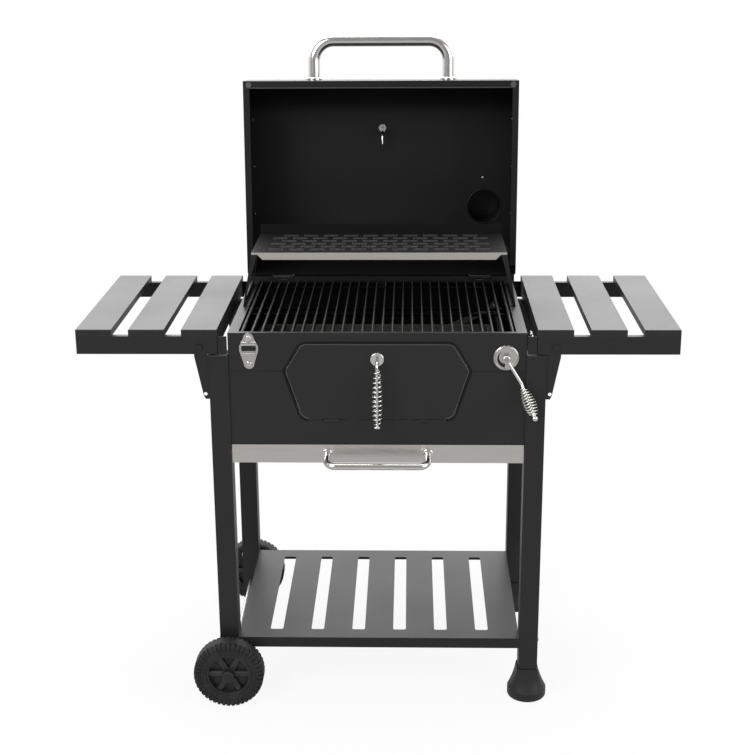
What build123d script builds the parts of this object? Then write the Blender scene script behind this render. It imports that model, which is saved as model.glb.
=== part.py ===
from build123d import *
import math
import os

# Charcoal grill trolley, in millimetres: X to the right, Y to the back, Z up from the floor.
# The lid stands open. Y is counted from the front faces of the legs until the model is centred.

# Trolley frame
leg_size = 38.0
leg_wall = 1.5
leg_gap = 570.0
cart_depth = 437.0
leg_top = 733.0
left_leg_foot = 46.0
fit_gap = 0.1
seat_gap = 0.3
bolt_head = 11.0
bolt_head_height = 3.0

# Wheels, axle and feet
wheel_radius = 71.0
tyre_width = 38.0
tyre_bead_radius = 45.0
hub_bore_wall = 7.0
hub_web = 8.0
hub_spokes = 6
hub_rim = 4.0
hub_spoke_width = 13.0
tread_blocks = 30
tread_depth = 3.0
axle_radius = 5.0
wheel_side_gap = 4.0
axle_cap_radius = 13.0
axle_cap_length = 9.0
axle_stub = 6.0
foot_height = 67.0
foot_radius = 39.5
foot_wall_gap = 0.3
foot_floor = 6.0
foot_wall = 2.5
foot_skirt = 20.0
plug_cap = 3.0
plug_depth = 14.0

# Bottom shelf
shelf_top = 138.0
shelf_lip = 22.0
shelf_front = -2.0
shelf_back_set = 17.0
shelf_sheet = 1.5
shelf_slots = 6
slot_pitch = 84.2
slot_width = 26.0
slot_margin = 36.0

# Firebox
sheet = 1.5
box_front = 3.0
box_back_set = 15.0
box_height = 225.0
rim_rise = 47.0
rim_flange = 20.0
front_flange = 10.0
crease_share = 97 / 151
crease_depth = 0.7
firebox_bolt_drops = (18.0, 133.0)

# Bottle opener
opener_x = -245.0
opener_length = 71.0
opener_half = 18.0
opener_round = 10.0
opener_thick = 2.0

# Fire door
door_top_margin = 22.0
door_bottom_margin = 52.0
door_half_top = 145.0
door_half_wide = 177.0
door_round = 18.0
door_wide_round = 8.0
door_gap = 1.5
hinge_knuckle = 2.6
door_pin = 1.3
knuckle_length = 12.0
knuckle_x = 90.0
grip_drop = 30.0
grip_reach = 30.0
grip_rod = 3.0
grip_overhang = 8.0
grip_collar = 13.5
grip_collar_thick = 4.0
grip_bend = 11.0
grip_tip = 7.0
grip_wire = 1.3
grip_wound = 12.0
grip_turns = 12

# Crank and charcoal tray
crank_x = 246.0
crank_drop = 49.0
crank_shaft = 5.0
crank_plate_radius = 24.5
crank_plate_thick = 2.0
crank_boss = 8.0
crank_boss_length = 14.0
crank_throw = (29.0, -47.0)
crank_rod = 3.5
crank_bend = 10.0
crank_grip_way = (0.34, -0.45, -0.82)
crank_grip_length = 72.0
crank_grip_radius = 14.0
crank_turns = 12
shaft_head = 4.0
lift_arm = 100.0
lift_arm_drop = 25.0
lift_arm_rise = 5.0
lift_pin = 4.0
lift_thick = 6.0
lift_clear = 6.0
tray_depth = 58.0
tray_flange = 10.0
tray_left = -250.0
tray_right = 228.0
tray_side_gap = 59.0
tray_slots = 11
tray_slot_width = 9.0
guide_slot = 15.0
guide_lip = 18.0
guide_margin = 24.0
guide_spread = 185.0

# Ash drawer
drawer_gap = 1.0
drawer_height = 37.5
drawer_half = 250.0
drawer_length = 400.0
runner_lip = 16.0
runner_rise = 34.0
runner_drop = 12.5
drawer_handle_half = 98.0
drawer_handle_rod = 6.5
drawer_handle_set = 19.0
drawer_handle_drop = 10.0
drawer_handle_reach = 43.0
drawer_handle_bend = 18.0
drawer_collar = 11.0
drawer_collar_thick = 4.0
drawer_side_gap = 1.0

# Lid, worked out closed and then swung open
lid_half = 292.0
lid_open = 94.0
lid_gap = 2.0
lid_front_set = 5.0
lid_rise = 188.0
lid_front_round = 95.0
lid_back_round = 40.0
lid_hem = 16.0
lid_flange = 12.0
lid_corner = 10.0
bumper_radius = 6.0
hinge_set = 6.0
hinge_rise = 4.0
hinge_pin = 3.0
hinge_barrel = 6.0
hinge_x = 215.0
hinge_leaf = 44.0
handle_half = 144.0
handle_rod = 12.5
handle_reach = 95.0
handle_bend = 42.0
handle_rise = 60.0
handle_collar = 18.0
handle_collar_thick = 6.0
chimney_x = 231.0
chimney_set = 126.5
chimney_radius = 38.5
chimney_height = 95.0
chimney_ring = 11.0
chimney_lug = 14.0
cap_pin = 3.0
cap_thick = 2.0
cap_over = 3.0
cap_tab = 14.0
thermo_set = 15.0
thermo_dial = 30.0
thermo_case = 13.0
thermo_stem = 3.2
thermo_reach = 48.0
thermo_nut = 9.0

# Warming rack
rack_half = 257.0
rack_front_set = 222.0
rack_depth = 190.0
rack_rise = 111.5
rack_lip = 14.5
rack_rows = 6
rack_columns = 11
rack_lip_thick = 1.5
rack_back = 20.0
rack_margin = 14.0
bracket_foot = 12.0
bracket_frame = 14.0

# Cooking grates
bar_pitch = 19.2
bars_each = 14
bar_width = 5.0
bar_height = 9.0
cross_bar_height = 5.0
grate_front_gap = 1.5
grate_back_gap = 2.5
grate_drop = 2.0
cross_bar_shares = (0.42, 0.53)
ledge_width = 18.0
ledge_fold = 12.0
ledge_half = 230.0

# Side tables
table_rise = 35.0
table_over = 3.0
table_inner = 304.0
slat_width = 69.0
slats_each = 3
slat_gap = 32.0
slat_lip = 13.0
apron_drop = 13.4
table_sheet = 1.5
pivot_x = 340.0
pivot_rise = 19.0
pivot_pin = 4.0
bracket_drop = 96.0
bracket_sheet = 2.0
bracket_bolt_drops = (20.0, 70.0)
apron_flange = 12.0
rail_height = 24.0

# Shared places that follow from the sizes above
leg_inner = leg_gap / 2
leg_outer = leg_inner + leg_size
leg_mid = leg_inner + leg_size / 2
rear_leg = cart_depth - leg_size
leg_centres_y = (leg_size / 2, cart_depth - leg_size / 2)
box_half = leg_inner
box_back = cart_depth - box_back_set
shelf_back = cart_depth - shelf_back_set
box_rim = leg_top + rim_rise
box_floor = box_rim - box_height
opener_top = box_rim
door_top = box_rim - door_top_margin
door_bottom = box_floor + door_bottom_margin
crease_height = door_bottom + (door_top - door_bottom) * crease_share
grip_height = door_top - grip_drop
grip_bottom = door_bottom - grip_overhang
crank_height = box_rim - crank_drop
drawer_top = box_floor - drawer_gap
drawer_bottom = drawer_top - drawer_height
runner_top = drawer_top - runner_drop
drawer_handle_height = drawer_top - drawer_handle_set
lid_rim = box_rim + lid_gap
lid_front = box_front + lid_front_set
hinge_y = box_back + hinge_set
hinge_z = lid_rim + hinge_rise
handle_height = lid_rim + handle_rise
grate_top = box_rim - grate_drop
rack_front = box_back - rack_front_set
rack_height = box_rim + rack_rise
pivot_height = leg_top + pivot_rise
table_top = pivot_height + table_rise
table_depth = cart_depth + table_over
apron_bottom = pivot_height - apron_drop
wall_inner = box_half - sheet
back_inner = box_back - sheet
roof_z = lid_rim + lid_rise
hinge_line = Axis((0, hinge_y, hinge_z), (1, 0, 0))
front_flange_end = box_front + front_flange
crank_bore = crank_shaft + fit_gap
door_axis = (box_front + sheet / 2, door_bottom - door_gap - hinge_knuckle)
low_angle = math.radians(lift_arm_drop)
high_angle = math.radians(lift_arm_rise)
tray_rest = crank_height - lift_arm * math.sin(low_angle) + lift_pin + seat_gap
tray_lift = lift_arm * (math.sin(low_angle) + math.sin(high_angle))
box_mid_y = (box_front + box_back) / 2
guide_places = (box_mid_y - guide_spread / 2, box_mid_y + guide_spread / 2)
flange_edge = tray_side_gap - tray_flange - lift_clear
lift_places = ((box_front + flange_edge, 1), (box_back - flange_edge, -1))
lid_back = hinge_y - hinge_barrel - 0.5
chimney_y = lid_back - chimney_set
thermo_y = lid_front + lid_front_round + thermo_set
cap_pin_x = chimney_x - chimney_radius - 3 * cap_pin
cap_low = roof_z + chimney_height + seat_gap
table_outer = table_inner + slats_each * slat_width + (slats_each - 1) * slat_gap
pieces = {}


def span(x, y, z):
    """Box between two corners, given as one (low, high) pair for each direction."""
    low = (x[0], y[0], z[0])
    size = (x[1] - x[0], y[1] - y[0], z[1] - z[0])
    return Pos(*low) * Box(*size, align=(Align.MIN, Align.MIN, Align.MIN))


def rod(start, end, radius):
    """Round bar between two points."""
    path = Vector(*end) - Vector(*start)
    return Plane(origin=start, z_dir=path) * Cylinder(
        radius, path.length, align=(Align.CENTER, Align.CENTER, Align.MIN)
    )


def swept(path, radius):
    """Round bar along a path of lines and arcs."""
    section = Plane(origin=path @ 0, z_dir=path % 0) * Circle(radius)
    return sweep(section, path)


def mirrored(shape):
    """The same piece on the other side of the middle plane."""
    return mirror(shape, about=Plane.YZ)


def swung_open(shape):
    """A lid piece turned from its closed place to the open one."""
    return shape.rotate(hinge_line, -lid_open)


def keep(name, *solids):
    """File one node, as a group when it has several solids."""
    pieces[name] = solids[0] if len(solids) == 1 else Compound(children=list(solids))


def bolt(start, direction):
    """Pan-head bolt whose head sits on a face and points along a direction."""
    tip = Vector(*start) + Vector(*direction) * bolt_head_height
    head = rod(start, tip, bolt_head / 2)
    rim = head.edges().filter_by(GeomType.CIRCLE).sort_by_distance(tip)[0]
    return fillet(rim, bolt_head_height * 0.6)


def leg(side, y_mid, bottom):
    """Square tube leg; the left pair has a cross hole for the axle."""
    x_mid = side * leg_mid
    half = leg_size / 2
    bore = half - leg_wall
    tube = span((x_mid - half, x_mid + half), (y_mid - half, y_mid + half), (bottom, leg_top))
    tube -= span((x_mid - bore, x_mid + bore), (y_mid - bore, y_mid + bore), (bottom, leg_top))
    if side < 0:
        reach = (x_mid, y_mid - leg_size, wheel_radius), (x_mid, y_mid + leg_size, wheel_radius)
        tube -= rod(*reach, axle_radius + fit_gap)
    return tube


def leg_plug(side, y_mid):
    """Moulded plug that closes the top of a leg."""
    spigot = leg_size - 2 * leg_wall - 2 * foot_wall_gap
    cap = Box(leg_size, leg_size, plug_cap, align=(Align.CENTER, Align.CENTER, Align.MIN))
    cap = fillet(cap.faces().sort_by(Axis.Z)[-1].edges(), plug_cap * 0.6)
    cap += Box(spigot, spigot, plug_depth, align=(Align.CENTER, Align.CENTER, Align.MAX))
    return Pos(side * leg_mid, y_mid, leg_top) * cap


def foot(y_mid):
    """Flared foot that a right leg stands in: square at its neck and round on the floor."""
    neck = leg_size + 2 * foot_wall
    middle = neck + 0.35 * (2 * foot_radius - neck)
    sections = [
        Pos(Z=foot_height) * RectangleRounded(neck, neck, foot_wall * 2),
        Pos(Z=(foot_height + foot_skirt) / 2) * RectangleRounded(middle, middle, middle * 0.32),
        Pos(Z=foot_skirt) * RectangleRounded(2 * foot_radius, 2 * foot_radius, foot_radius * 0.99),
    ]
    shape = loft(sections)
    base = Cylinder(foot_radius, foot_skirt, align=(Align.CENTER, Align.CENTER, Align.MIN))
    shape += fillet(base.edges().sort_by(Axis.Z)[0], foot_skirt * 0.3)
    socket = leg_size + 2 * foot_wall_gap
    shape -= Pos(Z=foot_floor) * Box(
        socket, socket, foot_height, align=(Align.CENTER, Align.CENTER, Align.MIN)
    )
    return Pos(leg_mid, y_mid, 0) * shape


def tyre(y_mid):
    """Solid tyre with rounded shoulders and a cut tread on both edges."""
    half = tyre_width / 2
    shoulder = tyre_width * 0.28
    section = Pos((tyre_bead_radius + wheel_radius) / 2, 0) * Rectangle(
        wheel_radius - tyre_bead_radius, tyre_width
    )
    outer = section.vertices().sort_by(Axis.X)[-2:]
    body = revolve(Plane.XZ * fillet(outer, shoulder), Axis.Z)
    groove = Box(
        tread_depth * 2,
        2 * math.pi * wheel_radius / tread_blocks * 0.4,
        shoulder * 1.6,
        align=(Align.CENTER, Align.CENTER, Align.CENTER),
    )
    turn = 360 / tread_blocks
    cuts = []
    for block in range(tread_blocks):
        for side in (-1, 1):
            place = Rot(Z=turn * (block + 0.25 * side)) * Pos(wheel_radius, 0, side * half)
            cuts.append(place * groove)
    body -= cuts
    return Pos(-leg_mid, y_mid, wheel_radius) * Rot(X=90) * body


def hub(y_mid, outward):
    """Moulded wheel centre: rim, web, spokes and a long boss on the axle."""
    half = tyre_width / 2
    rim_in = tyre_bead_radius - hub_rim
    boss = axle_radius + hub_bore_wall
    body = Cylinder(tyre_bead_radius, tyre_width * 0.9) - Cylinder(rim_in, tyre_width)
    body += Cylinder(rim_in + hub_rim / 2, hub_web)
    length = tyre_width + wheel_side_gap - seat_gap
    body += Pos(Z=-(wheel_side_gap - seat_gap) / 2) * Cylinder(boss, length)
    spoke = Pos((boss + rim_in) / 2, 0, 0) * Box(rim_in - boss + 2, hub_spoke_width, tyre_width * 0.66)
    spoke = fillet(spoke.edges().filter_by(Axis.X), hub_spoke_width * 0.3)
    for number in range(hub_spokes):
        body += Rot(Z=360 / hub_spokes * number) * spoke
    body -= Cylinder(axle_radius + fit_gap, 3 * tyre_width)
    face = Plane(origin=(-leg_mid, y_mid, wheel_radius), x_dir=(1, 0, 0), z_dir=(0, outward, 0))
    return face * body


def shelf():
    """Bottom shelf: one sheet with a lip all round and long slots."""
    y_range = (shelf_front, shelf_back)
    low = shelf_top - shelf_lip
    tray = span((-leg_inner, leg_inner), y_range, (low, shelf_top))
    inside = leg_inner - shelf_sheet
    y_in = (y_range[0] + shelf_sheet, y_range[1] - shelf_sheet)
    tray -= span((-inside, inside), y_in, (low, shelf_top - shelf_sheet))
    length = y_range[1] - y_range[0] - 2 * slot_margin
    slot = extrude(RectangleRounded(slot_width, length, slot_width * 0.17), 4 * shelf_sheet, both=True)
    for number in range(shelf_slots):
        x_mid = (number - (shelf_slots - 1) / 2) * slot_pitch
        tray -= Pos(x_mid, (y_range[0] + y_range[1]) / 2, shelf_top) * slot
    return tray


def make_trolley():
    """Legs, feet, wheels, axle and bottom shelf."""
    for name, y_mid in zip(("front", "rear"), leg_centres_y):
        keep(f"leg_{name}_left", leg(-1, y_mid, left_leg_foot))
        keep(f"leg_{name}_right", leg(1, y_mid, foot_floor))
        keep(f"foot_{name}_right", foot(y_mid))
    keep("leg_plugs", *[leg_plug(s, y) for s in (-1, 1) for y in leg_centres_y])
    keep("bottom_shelf", shelf())
    stand_off = wheel_side_gap + tyre_width
    ends = (-stand_off - axle_stub, cart_depth + stand_off + axle_stub)
    keep("axle", rod((-leg_mid, ends[0], wheel_radius), (-leg_mid, ends[1], wheel_radius), axle_radius))
    caps = []
    for y_face, out in ((-stand_off - seat_gap, -1), (cart_depth + stand_off + seat_gap, 1)):
        start = (-leg_mid, y_face, wheel_radius)
        tip = (-leg_mid, y_face + out * axle_cap_length, wheel_radius)
        cap = rod(start, tip, axle_cap_radius)
        cap = fillet(cap.edges().sort_by_distance(tip)[0], axle_cap_length * 0.4)
        stub = (-leg_mid, y_face + out * axle_stub, wheel_radius)
        caps.append(cap - rod(start, stub, axle_radius + fit_gap))
    keep("axle_caps", *caps)
    y_front = -wheel_side_gap - tyre_width / 2
    y_rear = cart_depth + wheel_side_gap + tyre_width / 2
    for name, y_mid, out in (("front", y_front, -1), ("rear", y_rear, 1)):
        keep(f"wheel_{name}_tyre", tyre(y_mid))
        keep(f"wheel_{name}_hub", hub(y_mid, out))


def door_outline(grow):
    """Six-sided door outline with rounded corners, grown by a gap all round."""
    middle = crease_height
    points = [
        (-door_half_top, door_top),
        (door_half_top, door_top),
        (door_half_wide, middle),
        (door_half_top, door_bottom),
        (-door_half_top, door_bottom),
        (-door_half_wide, middle),
    ]
    shape = make_face(Polyline(*points, close=True))
    wide = shape.vertices().filter_by_position(Axis.Y, middle - 1, middle + 1)
    shape = fillet(wide, door_wide_round)
    corners = [v for v in shape.vertices() if abs(v.Y - middle) > (door_top - middle) * 0.8]
    shape = fillet(corners, door_round)
    return offset(shape, grow) if grow else shape


def upright(sketch, y_front, thick):
    """A sketch drawn as X and Z, standing with its front at y_front."""
    return extrude(Plane(origin=(0, y_front, 0), x_dir=(1, 0, 0), z_dir=(0, -1, 0)) * sketch, -thick)


def front_panel():
    """Front of the firebox: door opening with hinge pins, crank hole, pressed line and folded rim."""
    panel = span((-box_half, box_half), (box_front, box_front + sheet), (box_floor, box_rim))
    panel += span((-wall_inner, wall_inner), (box_front, front_flange_end), (box_rim - sheet, box_rim))
    groove = span(
        (-box_half, box_half),
        (box_front, box_front + crease_depth),
        (crease_height - crease_depth, crease_height + crease_depth),
    )
    panel -= groove
    panel -= upright(door_outline(door_gap), box_front - 1, sheet + 2)
    for side in (-1, 1):
        middle = side * knuckle_x
        half = knuckle_length / 2 + seat_gap
        notch_low = door_axis[1] - hinge_knuckle - seat_gap
        panel -= span(
            (middle - half, middle + half),
            (box_front - 1, box_front + sheet + 1),
            (notch_low, door_bottom),
        )
        for end in (-1, 1):
            near = middle + end * half
            far = near + end * knuckle_length * 0.7
            panel += rod((near, *door_axis), (far, *door_axis), hinge_knuckle)
        panel += rod((middle - half, *door_axis), (middle + half, *door_axis), door_pin)
    panel -= rod((crank_x, 0, crank_height), (crank_x, 2 * front_flange_end, crank_height), crank_bore)
    return panel


def side_wall():
    """Left side of the firebox with its rim folded inwards."""
    wall = span((-box_half, -wall_inner), (box_front + sheet, back_inner), (box_floor, box_rim))
    flange_x = (-box_half, -box_half + rim_flange)
    return wall + span(flange_x, (front_flange_end, back_inner), (box_rim - sheet, box_rim))


def back_wall():
    """Back of the firebox, with the far bearing hole of the crank shaft."""
    wall = span((-box_half, box_half), (back_inner, box_back), (box_floor, box_rim))
    return wall - rod((crank_x, back_inner - 1, crank_height), (crank_x, box_back + 1, crank_height), crank_bore)


def make_firebox():
    """Sheet walls, runners, grate ledges, tray guides and bottle opener."""
    keep("firebox_front", front_panel())
    keep("firebox_left_wall", side_wall())
    keep("firebox_right_wall", mirrored(side_wall()))
    keep("firebox_back", back_wall())
    y_run = (box_front + sheet + 1, back_inner - 1)
    runner = span((-wall_inner, -wall_inner + sheet), y_run, (runner_top - sheet, runner_top + runner_rise))
    runner += span((-wall_inner, -wall_inner + runner_lip), y_run, (runner_top - sheet, runner_top))
    keep("ash_runners", runner, mirrored(runner))
    ledge_x = (-ledge_half, ledge_half)
    ledge_z = (grate_top - bar_height - sheet, grate_top - bar_height)
    fold_z = (ledge_z[0] - ledge_fold, ledge_z[1])
    ledges = []
    for wall, inward in ((box_front + sheet, 1), (back_inner, -1)):
        shelf_y = sorted((wall, wall + inward * ledge_width))
        fold_y = sorted((wall, wall + inward * sheet))
        ledges.append(span(ledge_x, shelf_y, ledge_z) + span(ledge_x, fold_y, fold_z))
    keep("grate_ledges", *ledges)
    guides = []
    for y_mid in guide_places:
        half = guide_slot / 2
        x_range = (-wall_inner, -wall_inner + guide_lip)
        z_range = (tray_rest - guide_margin, tray_rest + guide_margin + tray_lift)
        channel = span(x_range, (y_mid - half - sheet, y_mid + half + sheet), z_range)
        channel -= span((x_range[0] + sheet, x_range[1]), (y_mid - half, y_mid + half), z_range)
        guides.append(channel)
    keep("tray_guides", *guides)
    keep("bottle_opener", opener())
    rivets = [opener_top - opener_round, opener_top - opener_length + opener_round]
    face = box_front - opener_thick
    keep("opener_rivets", *[bolt((opener_x, face, z), (0, -1, 0)) for z in rivets])


def opener():
    """Wall bottle opener: two round tabs, a wide middle with a window, and a lifting lip."""
    upper = opener_top - opener_round
    lower = opener_top - opener_length + opener_round
    middle = (upper + lower) / 2
    waist = [
        (-opener_round, upper),
        (-opener_half, middle + opener_round),
        (-opener_half, middle),
        (-opener_round, lower),
        (opener_round, lower),
        (opener_half, middle),
        (opener_half, middle + opener_round),
        (opener_round, upper),
    ]
    flat = make_face(Polyline(*waist, close=True))
    flat += Pos(0, upper) * Circle(opener_round)
    flat += Pos(0, lower) * Circle(opener_round)
    window_half = opener_half - opener_thick * 2
    flat -= Pos(0, middle + opener_round / 2) * RectangleRounded(2 * window_half, opener_round, opener_thick)
    plate = upright(flat, box_front - opener_thick, opener_thick)
    lip_z = (middle - opener_round, middle - opener_thick)
    lip = span((-window_half, window_half), (box_front - 4 * opener_thick, box_front - opener_thick), lip_z)
    lip = fillet(lip.edges().filter_by(Axis.X).group_by(Axis.Y)[0], opener_thick)
    return Pos(X=opener_x) * (plate + lip)


def coil(name, origin, along, length, turns, wire, ends, bulge, skew):
    """One unbroken wound wire grip, its radius swelling from its ends to its middle."""

    def place(turn):
        share = turn / turns
        radius = ends + bulge * math.sin(math.pi * share**skew) ** 0.7
        angle = 2 * math.pi * turn
        return Vector(radius * math.cos(angle), radius * math.sin(angle), length * share)

    def heading(turn):
        step = 0.002
        low, high = max(turn - step, 0), min(turn + step, turns)
        return (place(high) - place(low)).normalized()

    arcs = []
    for number in range(2 * turns):
        first, last = place(number / 2), place(number / 2 + 0.5)
        out, back = heading(number / 2), heading(number / 2 + 0.5)
        chord = last - first
        both = out + back
        bend = 2 * (1 - out.dot(back))
        reach = chord.dot(both)
        handle = (math.sqrt(reach**2 + bend * chord.dot(chord)) - reach) / bend
        joint = (first + last + (out - back) * handle) * 0.5
        turn_way = (last - back * handle) - (first + out * handle)
        arcs.append(Edge.make_tangent_arc(first, out, joint))
        arcs.append(Edge.make_tangent_arc(joint, turn_way.normalized(), last))
    path = Wire(arcs)
    steps = 24
    points = [place(number / steps) for number in range(turns * steps + 1)]
    pairs = [
        (points[i] - points[j]).length
        for i in range(len(points))
        for j in range(i + steps // 2, len(points))
    ]
    print(name, "least gap between turns", round(min(pairs) - 2 * wire, 2))
    return Plane(origin=origin, z_dir=along) * swept(path, wire)


def make_door():
    """Fire door with its hinge knuckles, handle and wound wire grip."""
    door = upright(door_outline(0), box_front, sheet)
    for side in (-1, 1):
        half = knuckle_length / 2
        ends = (side * knuckle_x - half, side * knuckle_x + half)
        door += span(ends, (box_front, box_front + sheet), (door_axis[1], door_bottom + 1))
        door += rod((ends[0], *door_axis), (ends[1], *door_axis), hinge_knuckle)
        door -= rod((ends[0], *door_axis), (ends[1], *door_axis), door_pin + fit_gap)
    keep("fire_door", door)
    stem_y = box_front - grip_reach
    path = FilletPolyline(
        (0, box_front, grip_height), (0, stem_y, grip_height), (0, stem_y, grip_bottom), radius=grip_bend
    )
    stem = swept(path, grip_rod)
    collar = rod((0, box_front, grip_height), (0, box_front - grip_collar_thick, grip_height), grip_collar)
    stem += fillet(collar.edges().sort_by(Axis.Y)[0], grip_collar_thick * 0.6)
    tip = rod((0, stem_y, grip_bottom), (0, stem_y, grip_bottom + grip_collar_thick), grip_tip)
    stem += fillet(tip.edges(), grip_collar_thick * 0.4)
    keep("door_handle", stem)
    low = grip_bottom + grip_collar_thick + grip_wire + seat_gap
    top = grip_height - grip_bend - grip_wire
    snug = grip_rod + grip_wire + seat_gap
    swell = grip_wound - grip_wire - snug
    wound = coil("door grip", (0, stem_y, low), (0, 0, 1), top - low, grip_turns, grip_wire, snug, swell, 0.8)
    keep("door_grip", wound)


def make_crank():
    """Crank, its shaft through the firebox, and the arms that lift the charcoal tray."""
    face = box_front - crank_plate_thick
    plate = rod((crank_x, box_front, crank_height), (crank_x, face, crank_height), crank_plate_radius)
    plate = fillet(plate.edges().sort_by(Axis.Y)[0], crank_plate_thick * 0.6)
    keep("crank_plate", plate - rod((crank_x, 0, crank_height), (crank_x, box_front, crank_height), crank_bore))
    boss_back = face - seat_gap
    boss_front = boss_back - crank_boss_length
    back_end = box_back + seat_gap
    shaft = rod((crank_x, boss_front, crank_height), (crank_x, back_end, crank_height), crank_shaft)
    shaft += rod((crank_x, back_end, crank_height), (crank_x, back_end + shaft_head, crank_height), crank_boss)
    keep("crank_shaft", shaft)
    bore = rod((crank_x, boss_front, crank_height), (crank_x, boss_back, crank_height), crank_bore)
    boss = rod((crank_x, boss_front, crank_height), (crank_x, boss_back, crank_height), crank_boss)
    boss = fillet(boss.edges().sort_by(Axis.Y)[0], crank_boss * 0.3)
    root = Vector(crank_x, (boss_front + boss_back) / 2, crank_height)
    knee = root + Vector(crank_throw[0], -crank_boss / 2, crank_throw[1])
    along = Vector(*crank_grip_way).normalized()
    tip = knee + along * crank_grip_length
    arm = swept(FilletPolyline(root, knee, tip, radius=crank_bend), crank_rod)
    arm += Pos(*tip) * Sphere(crank_rod * 1.6)
    keep("crank_arm", boss + arm - bore)
    snug = crank_rod + grip_wire + seat_gap
    start = knee + along * crank_bend
    wound_length = crank_grip_length - crank_bend - 1.6 * crank_rod - grip_wire
    swell = crank_grip_radius - grip_wire - snug
    wound = coil("crank grip", start, along, wound_length, crank_turns, grip_wire, snug, swell, 1.25)
    keep("crank_grip", wound)
    keep("lift_arms", *[lifting_arm(y, inward) for y, inward in lift_places])


def lifting_arm(y_edge, inward):
    """Flat arm on the crank shaft with a pin that reaches under the tray flange."""
    out = (-math.cos(low_angle), 0, -math.sin(low_angle))
    hub = Vector(crank_x, y_edge, crank_height)
    end = hub + Vector(*out) * lift_arm
    thick = Vector(0, -inward * lift_thick, 0)
    arm = rod(hub, hub + thick, crank_boss * 1.4) + rod(end, end + thick, lift_pin * 1.6)
    middle = (hub + end) * 0.5 + thick * 0.5
    bar = Plane(origin=middle, x_dir=out, z_dir=(0, 1, 0)) * Box(lift_arm, lift_pin * 3, lift_thick)
    arm += bar
    arm += rod(end, end + Vector(0, inward * (lift_clear + tray_flange * 0.8), 0), lift_pin)
    return arm - rod(hub - thick, hub + thick * 2, crank_bore)


def make_charcoal_tray():
    """Charcoal tray with a flange all round, slots in its floor and ears in the guides."""
    y_range = (box_front + tray_side_gap, box_back - tray_side_gap)
    floor = tray_rest - tray_depth
    tray = span((tray_left, tray_right), y_range, (floor, tray_rest + sheet))
    tray += span(
        (tray_left - tray_flange, tray_right + tray_flange),
        (y_range[0] - tray_flange, y_range[1] + tray_flange),
        (tray_rest, tray_rest + sheet),
    )
    tray -= span(
        (tray_left + sheet, tray_right - sheet),
        (y_range[0] + sheet, y_range[1] - sheet),
        (floor + sheet, tray_rest + 2 * sheet),
    )
    ear = (guide_slot - 4 * seat_gap) / 2
    ear_x = (-wall_inner + 2 * sheet, tray_left - tray_flange)
    for y_mid in guide_places:
        tray += span(ear_x, (y_mid - ear, y_mid + ear), (tray_rest, tray_rest + sheet))
    slot_length = (y_range[1] - y_range[0]) * 0.36
    slot = Box(tray_slot_width, slot_length, 4 * sheet)
    step = (tray_right - tray_left) / (tray_slots + 1)
    cuts = []
    for number in range(tray_slots):
        for row in (0.27, 0.73):
            y_mid = y_range[0] + (y_range[1] - y_range[0]) * row
            cuts.append(Pos(tray_left + step * (number + 1), y_mid, floor) * slot)
    keep("charcoal_tray", tray - cuts)


def grate():
    """Right cooking grate: long bars between two end bars, on two cross bars below them."""
    y_front, y_back = front_flange_end + grate_front_gap, back_inner - grate_back_gap
    top, low = grate_top, grate_top - bar_height
    first = bar_pitch / 2
    last = first + bar_pitch * (bars_each - 1)
    half = bar_width / 2
    wide = (first - half, last + half)
    bars = [
        span(wide, (y_front, y_front + bar_width), (low, top)),
        span(wide, (y_back - bar_width, y_back), (low, top)),
    ]
    for share in cross_bar_shares:
        y_mid = y_front + (y_back - y_front) * share
        bars.append(span(wide, (y_mid - half, y_mid + half), (low - cross_bar_height, low)))
    for number in range(bars_each):
        x_mid = first + bar_pitch * number
        bars.append(span((x_mid - half, x_mid + half), (y_front + bar_width, y_back - bar_width), (low, top)))
    return bars


def make_grates():
    """Left and right cooking grates."""
    bars = grate()
    keep("grate_right", *bars)
    keep("grate_left", *[mirrored(bar) for bar in bars])


def make_ash_drawer():
    """Ash drawer: steel front, tray with sliding flanges, and bent rod handle."""
    front_half = leg_inner - drawer_side_gap
    front_y = (box_front, box_front + sheet)
    front = span((-front_half, front_half), front_y, (drawer_bottom, drawer_top))
    keep("ash_drawer_front", front)
    y_range = (front_y[1], front_y[1] + drawer_length)
    rim = runner_top + seat_gap
    tray = span((-drawer_half, drawer_half), y_range, (drawer_bottom + sheet, rim + sheet))
    flange = wall_inner - sheet - drawer_side_gap
    tray += span((-flange, flange), y_range, (rim, rim + sheet))
    tray -= span(
        (-drawer_half + sheet, drawer_half - sheet),
        (y_range[0] + sheet, y_range[1] - sheet),
        (drawer_bottom + 2 * sheet, rim + 2 * sheet),
    )
    keep("ash_drawer_tray", tray)
    reach = box_front - drawer_handle_reach
    low = drawer_handle_height - drawer_handle_drop
    half = drawer_handle_half
    path = FilletPolyline(
        (-half, box_front, drawer_handle_height),
        (-half, reach, low),
        (half, reach, low),
        (half, box_front, drawer_handle_height),
        radius=drawer_handle_bend,
    )
    handle = swept(path, drawer_handle_rod)
    handle -= span((-leg_inner, leg_inner), (box_front, box_back), (0, box_rim))
    for side in (-half, half):
        face = (side, box_front, drawer_handle_height)
        rim_point = (side, box_front - drawer_collar_thick, drawer_handle_height)
        collar = rod(face, rim_point, drawer_collar)
        handle += fillet(collar.edges().sort_by(Axis.Y)[0], drawer_collar_thick * 0.5)
    keep("drawer_handle", handle)


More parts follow.
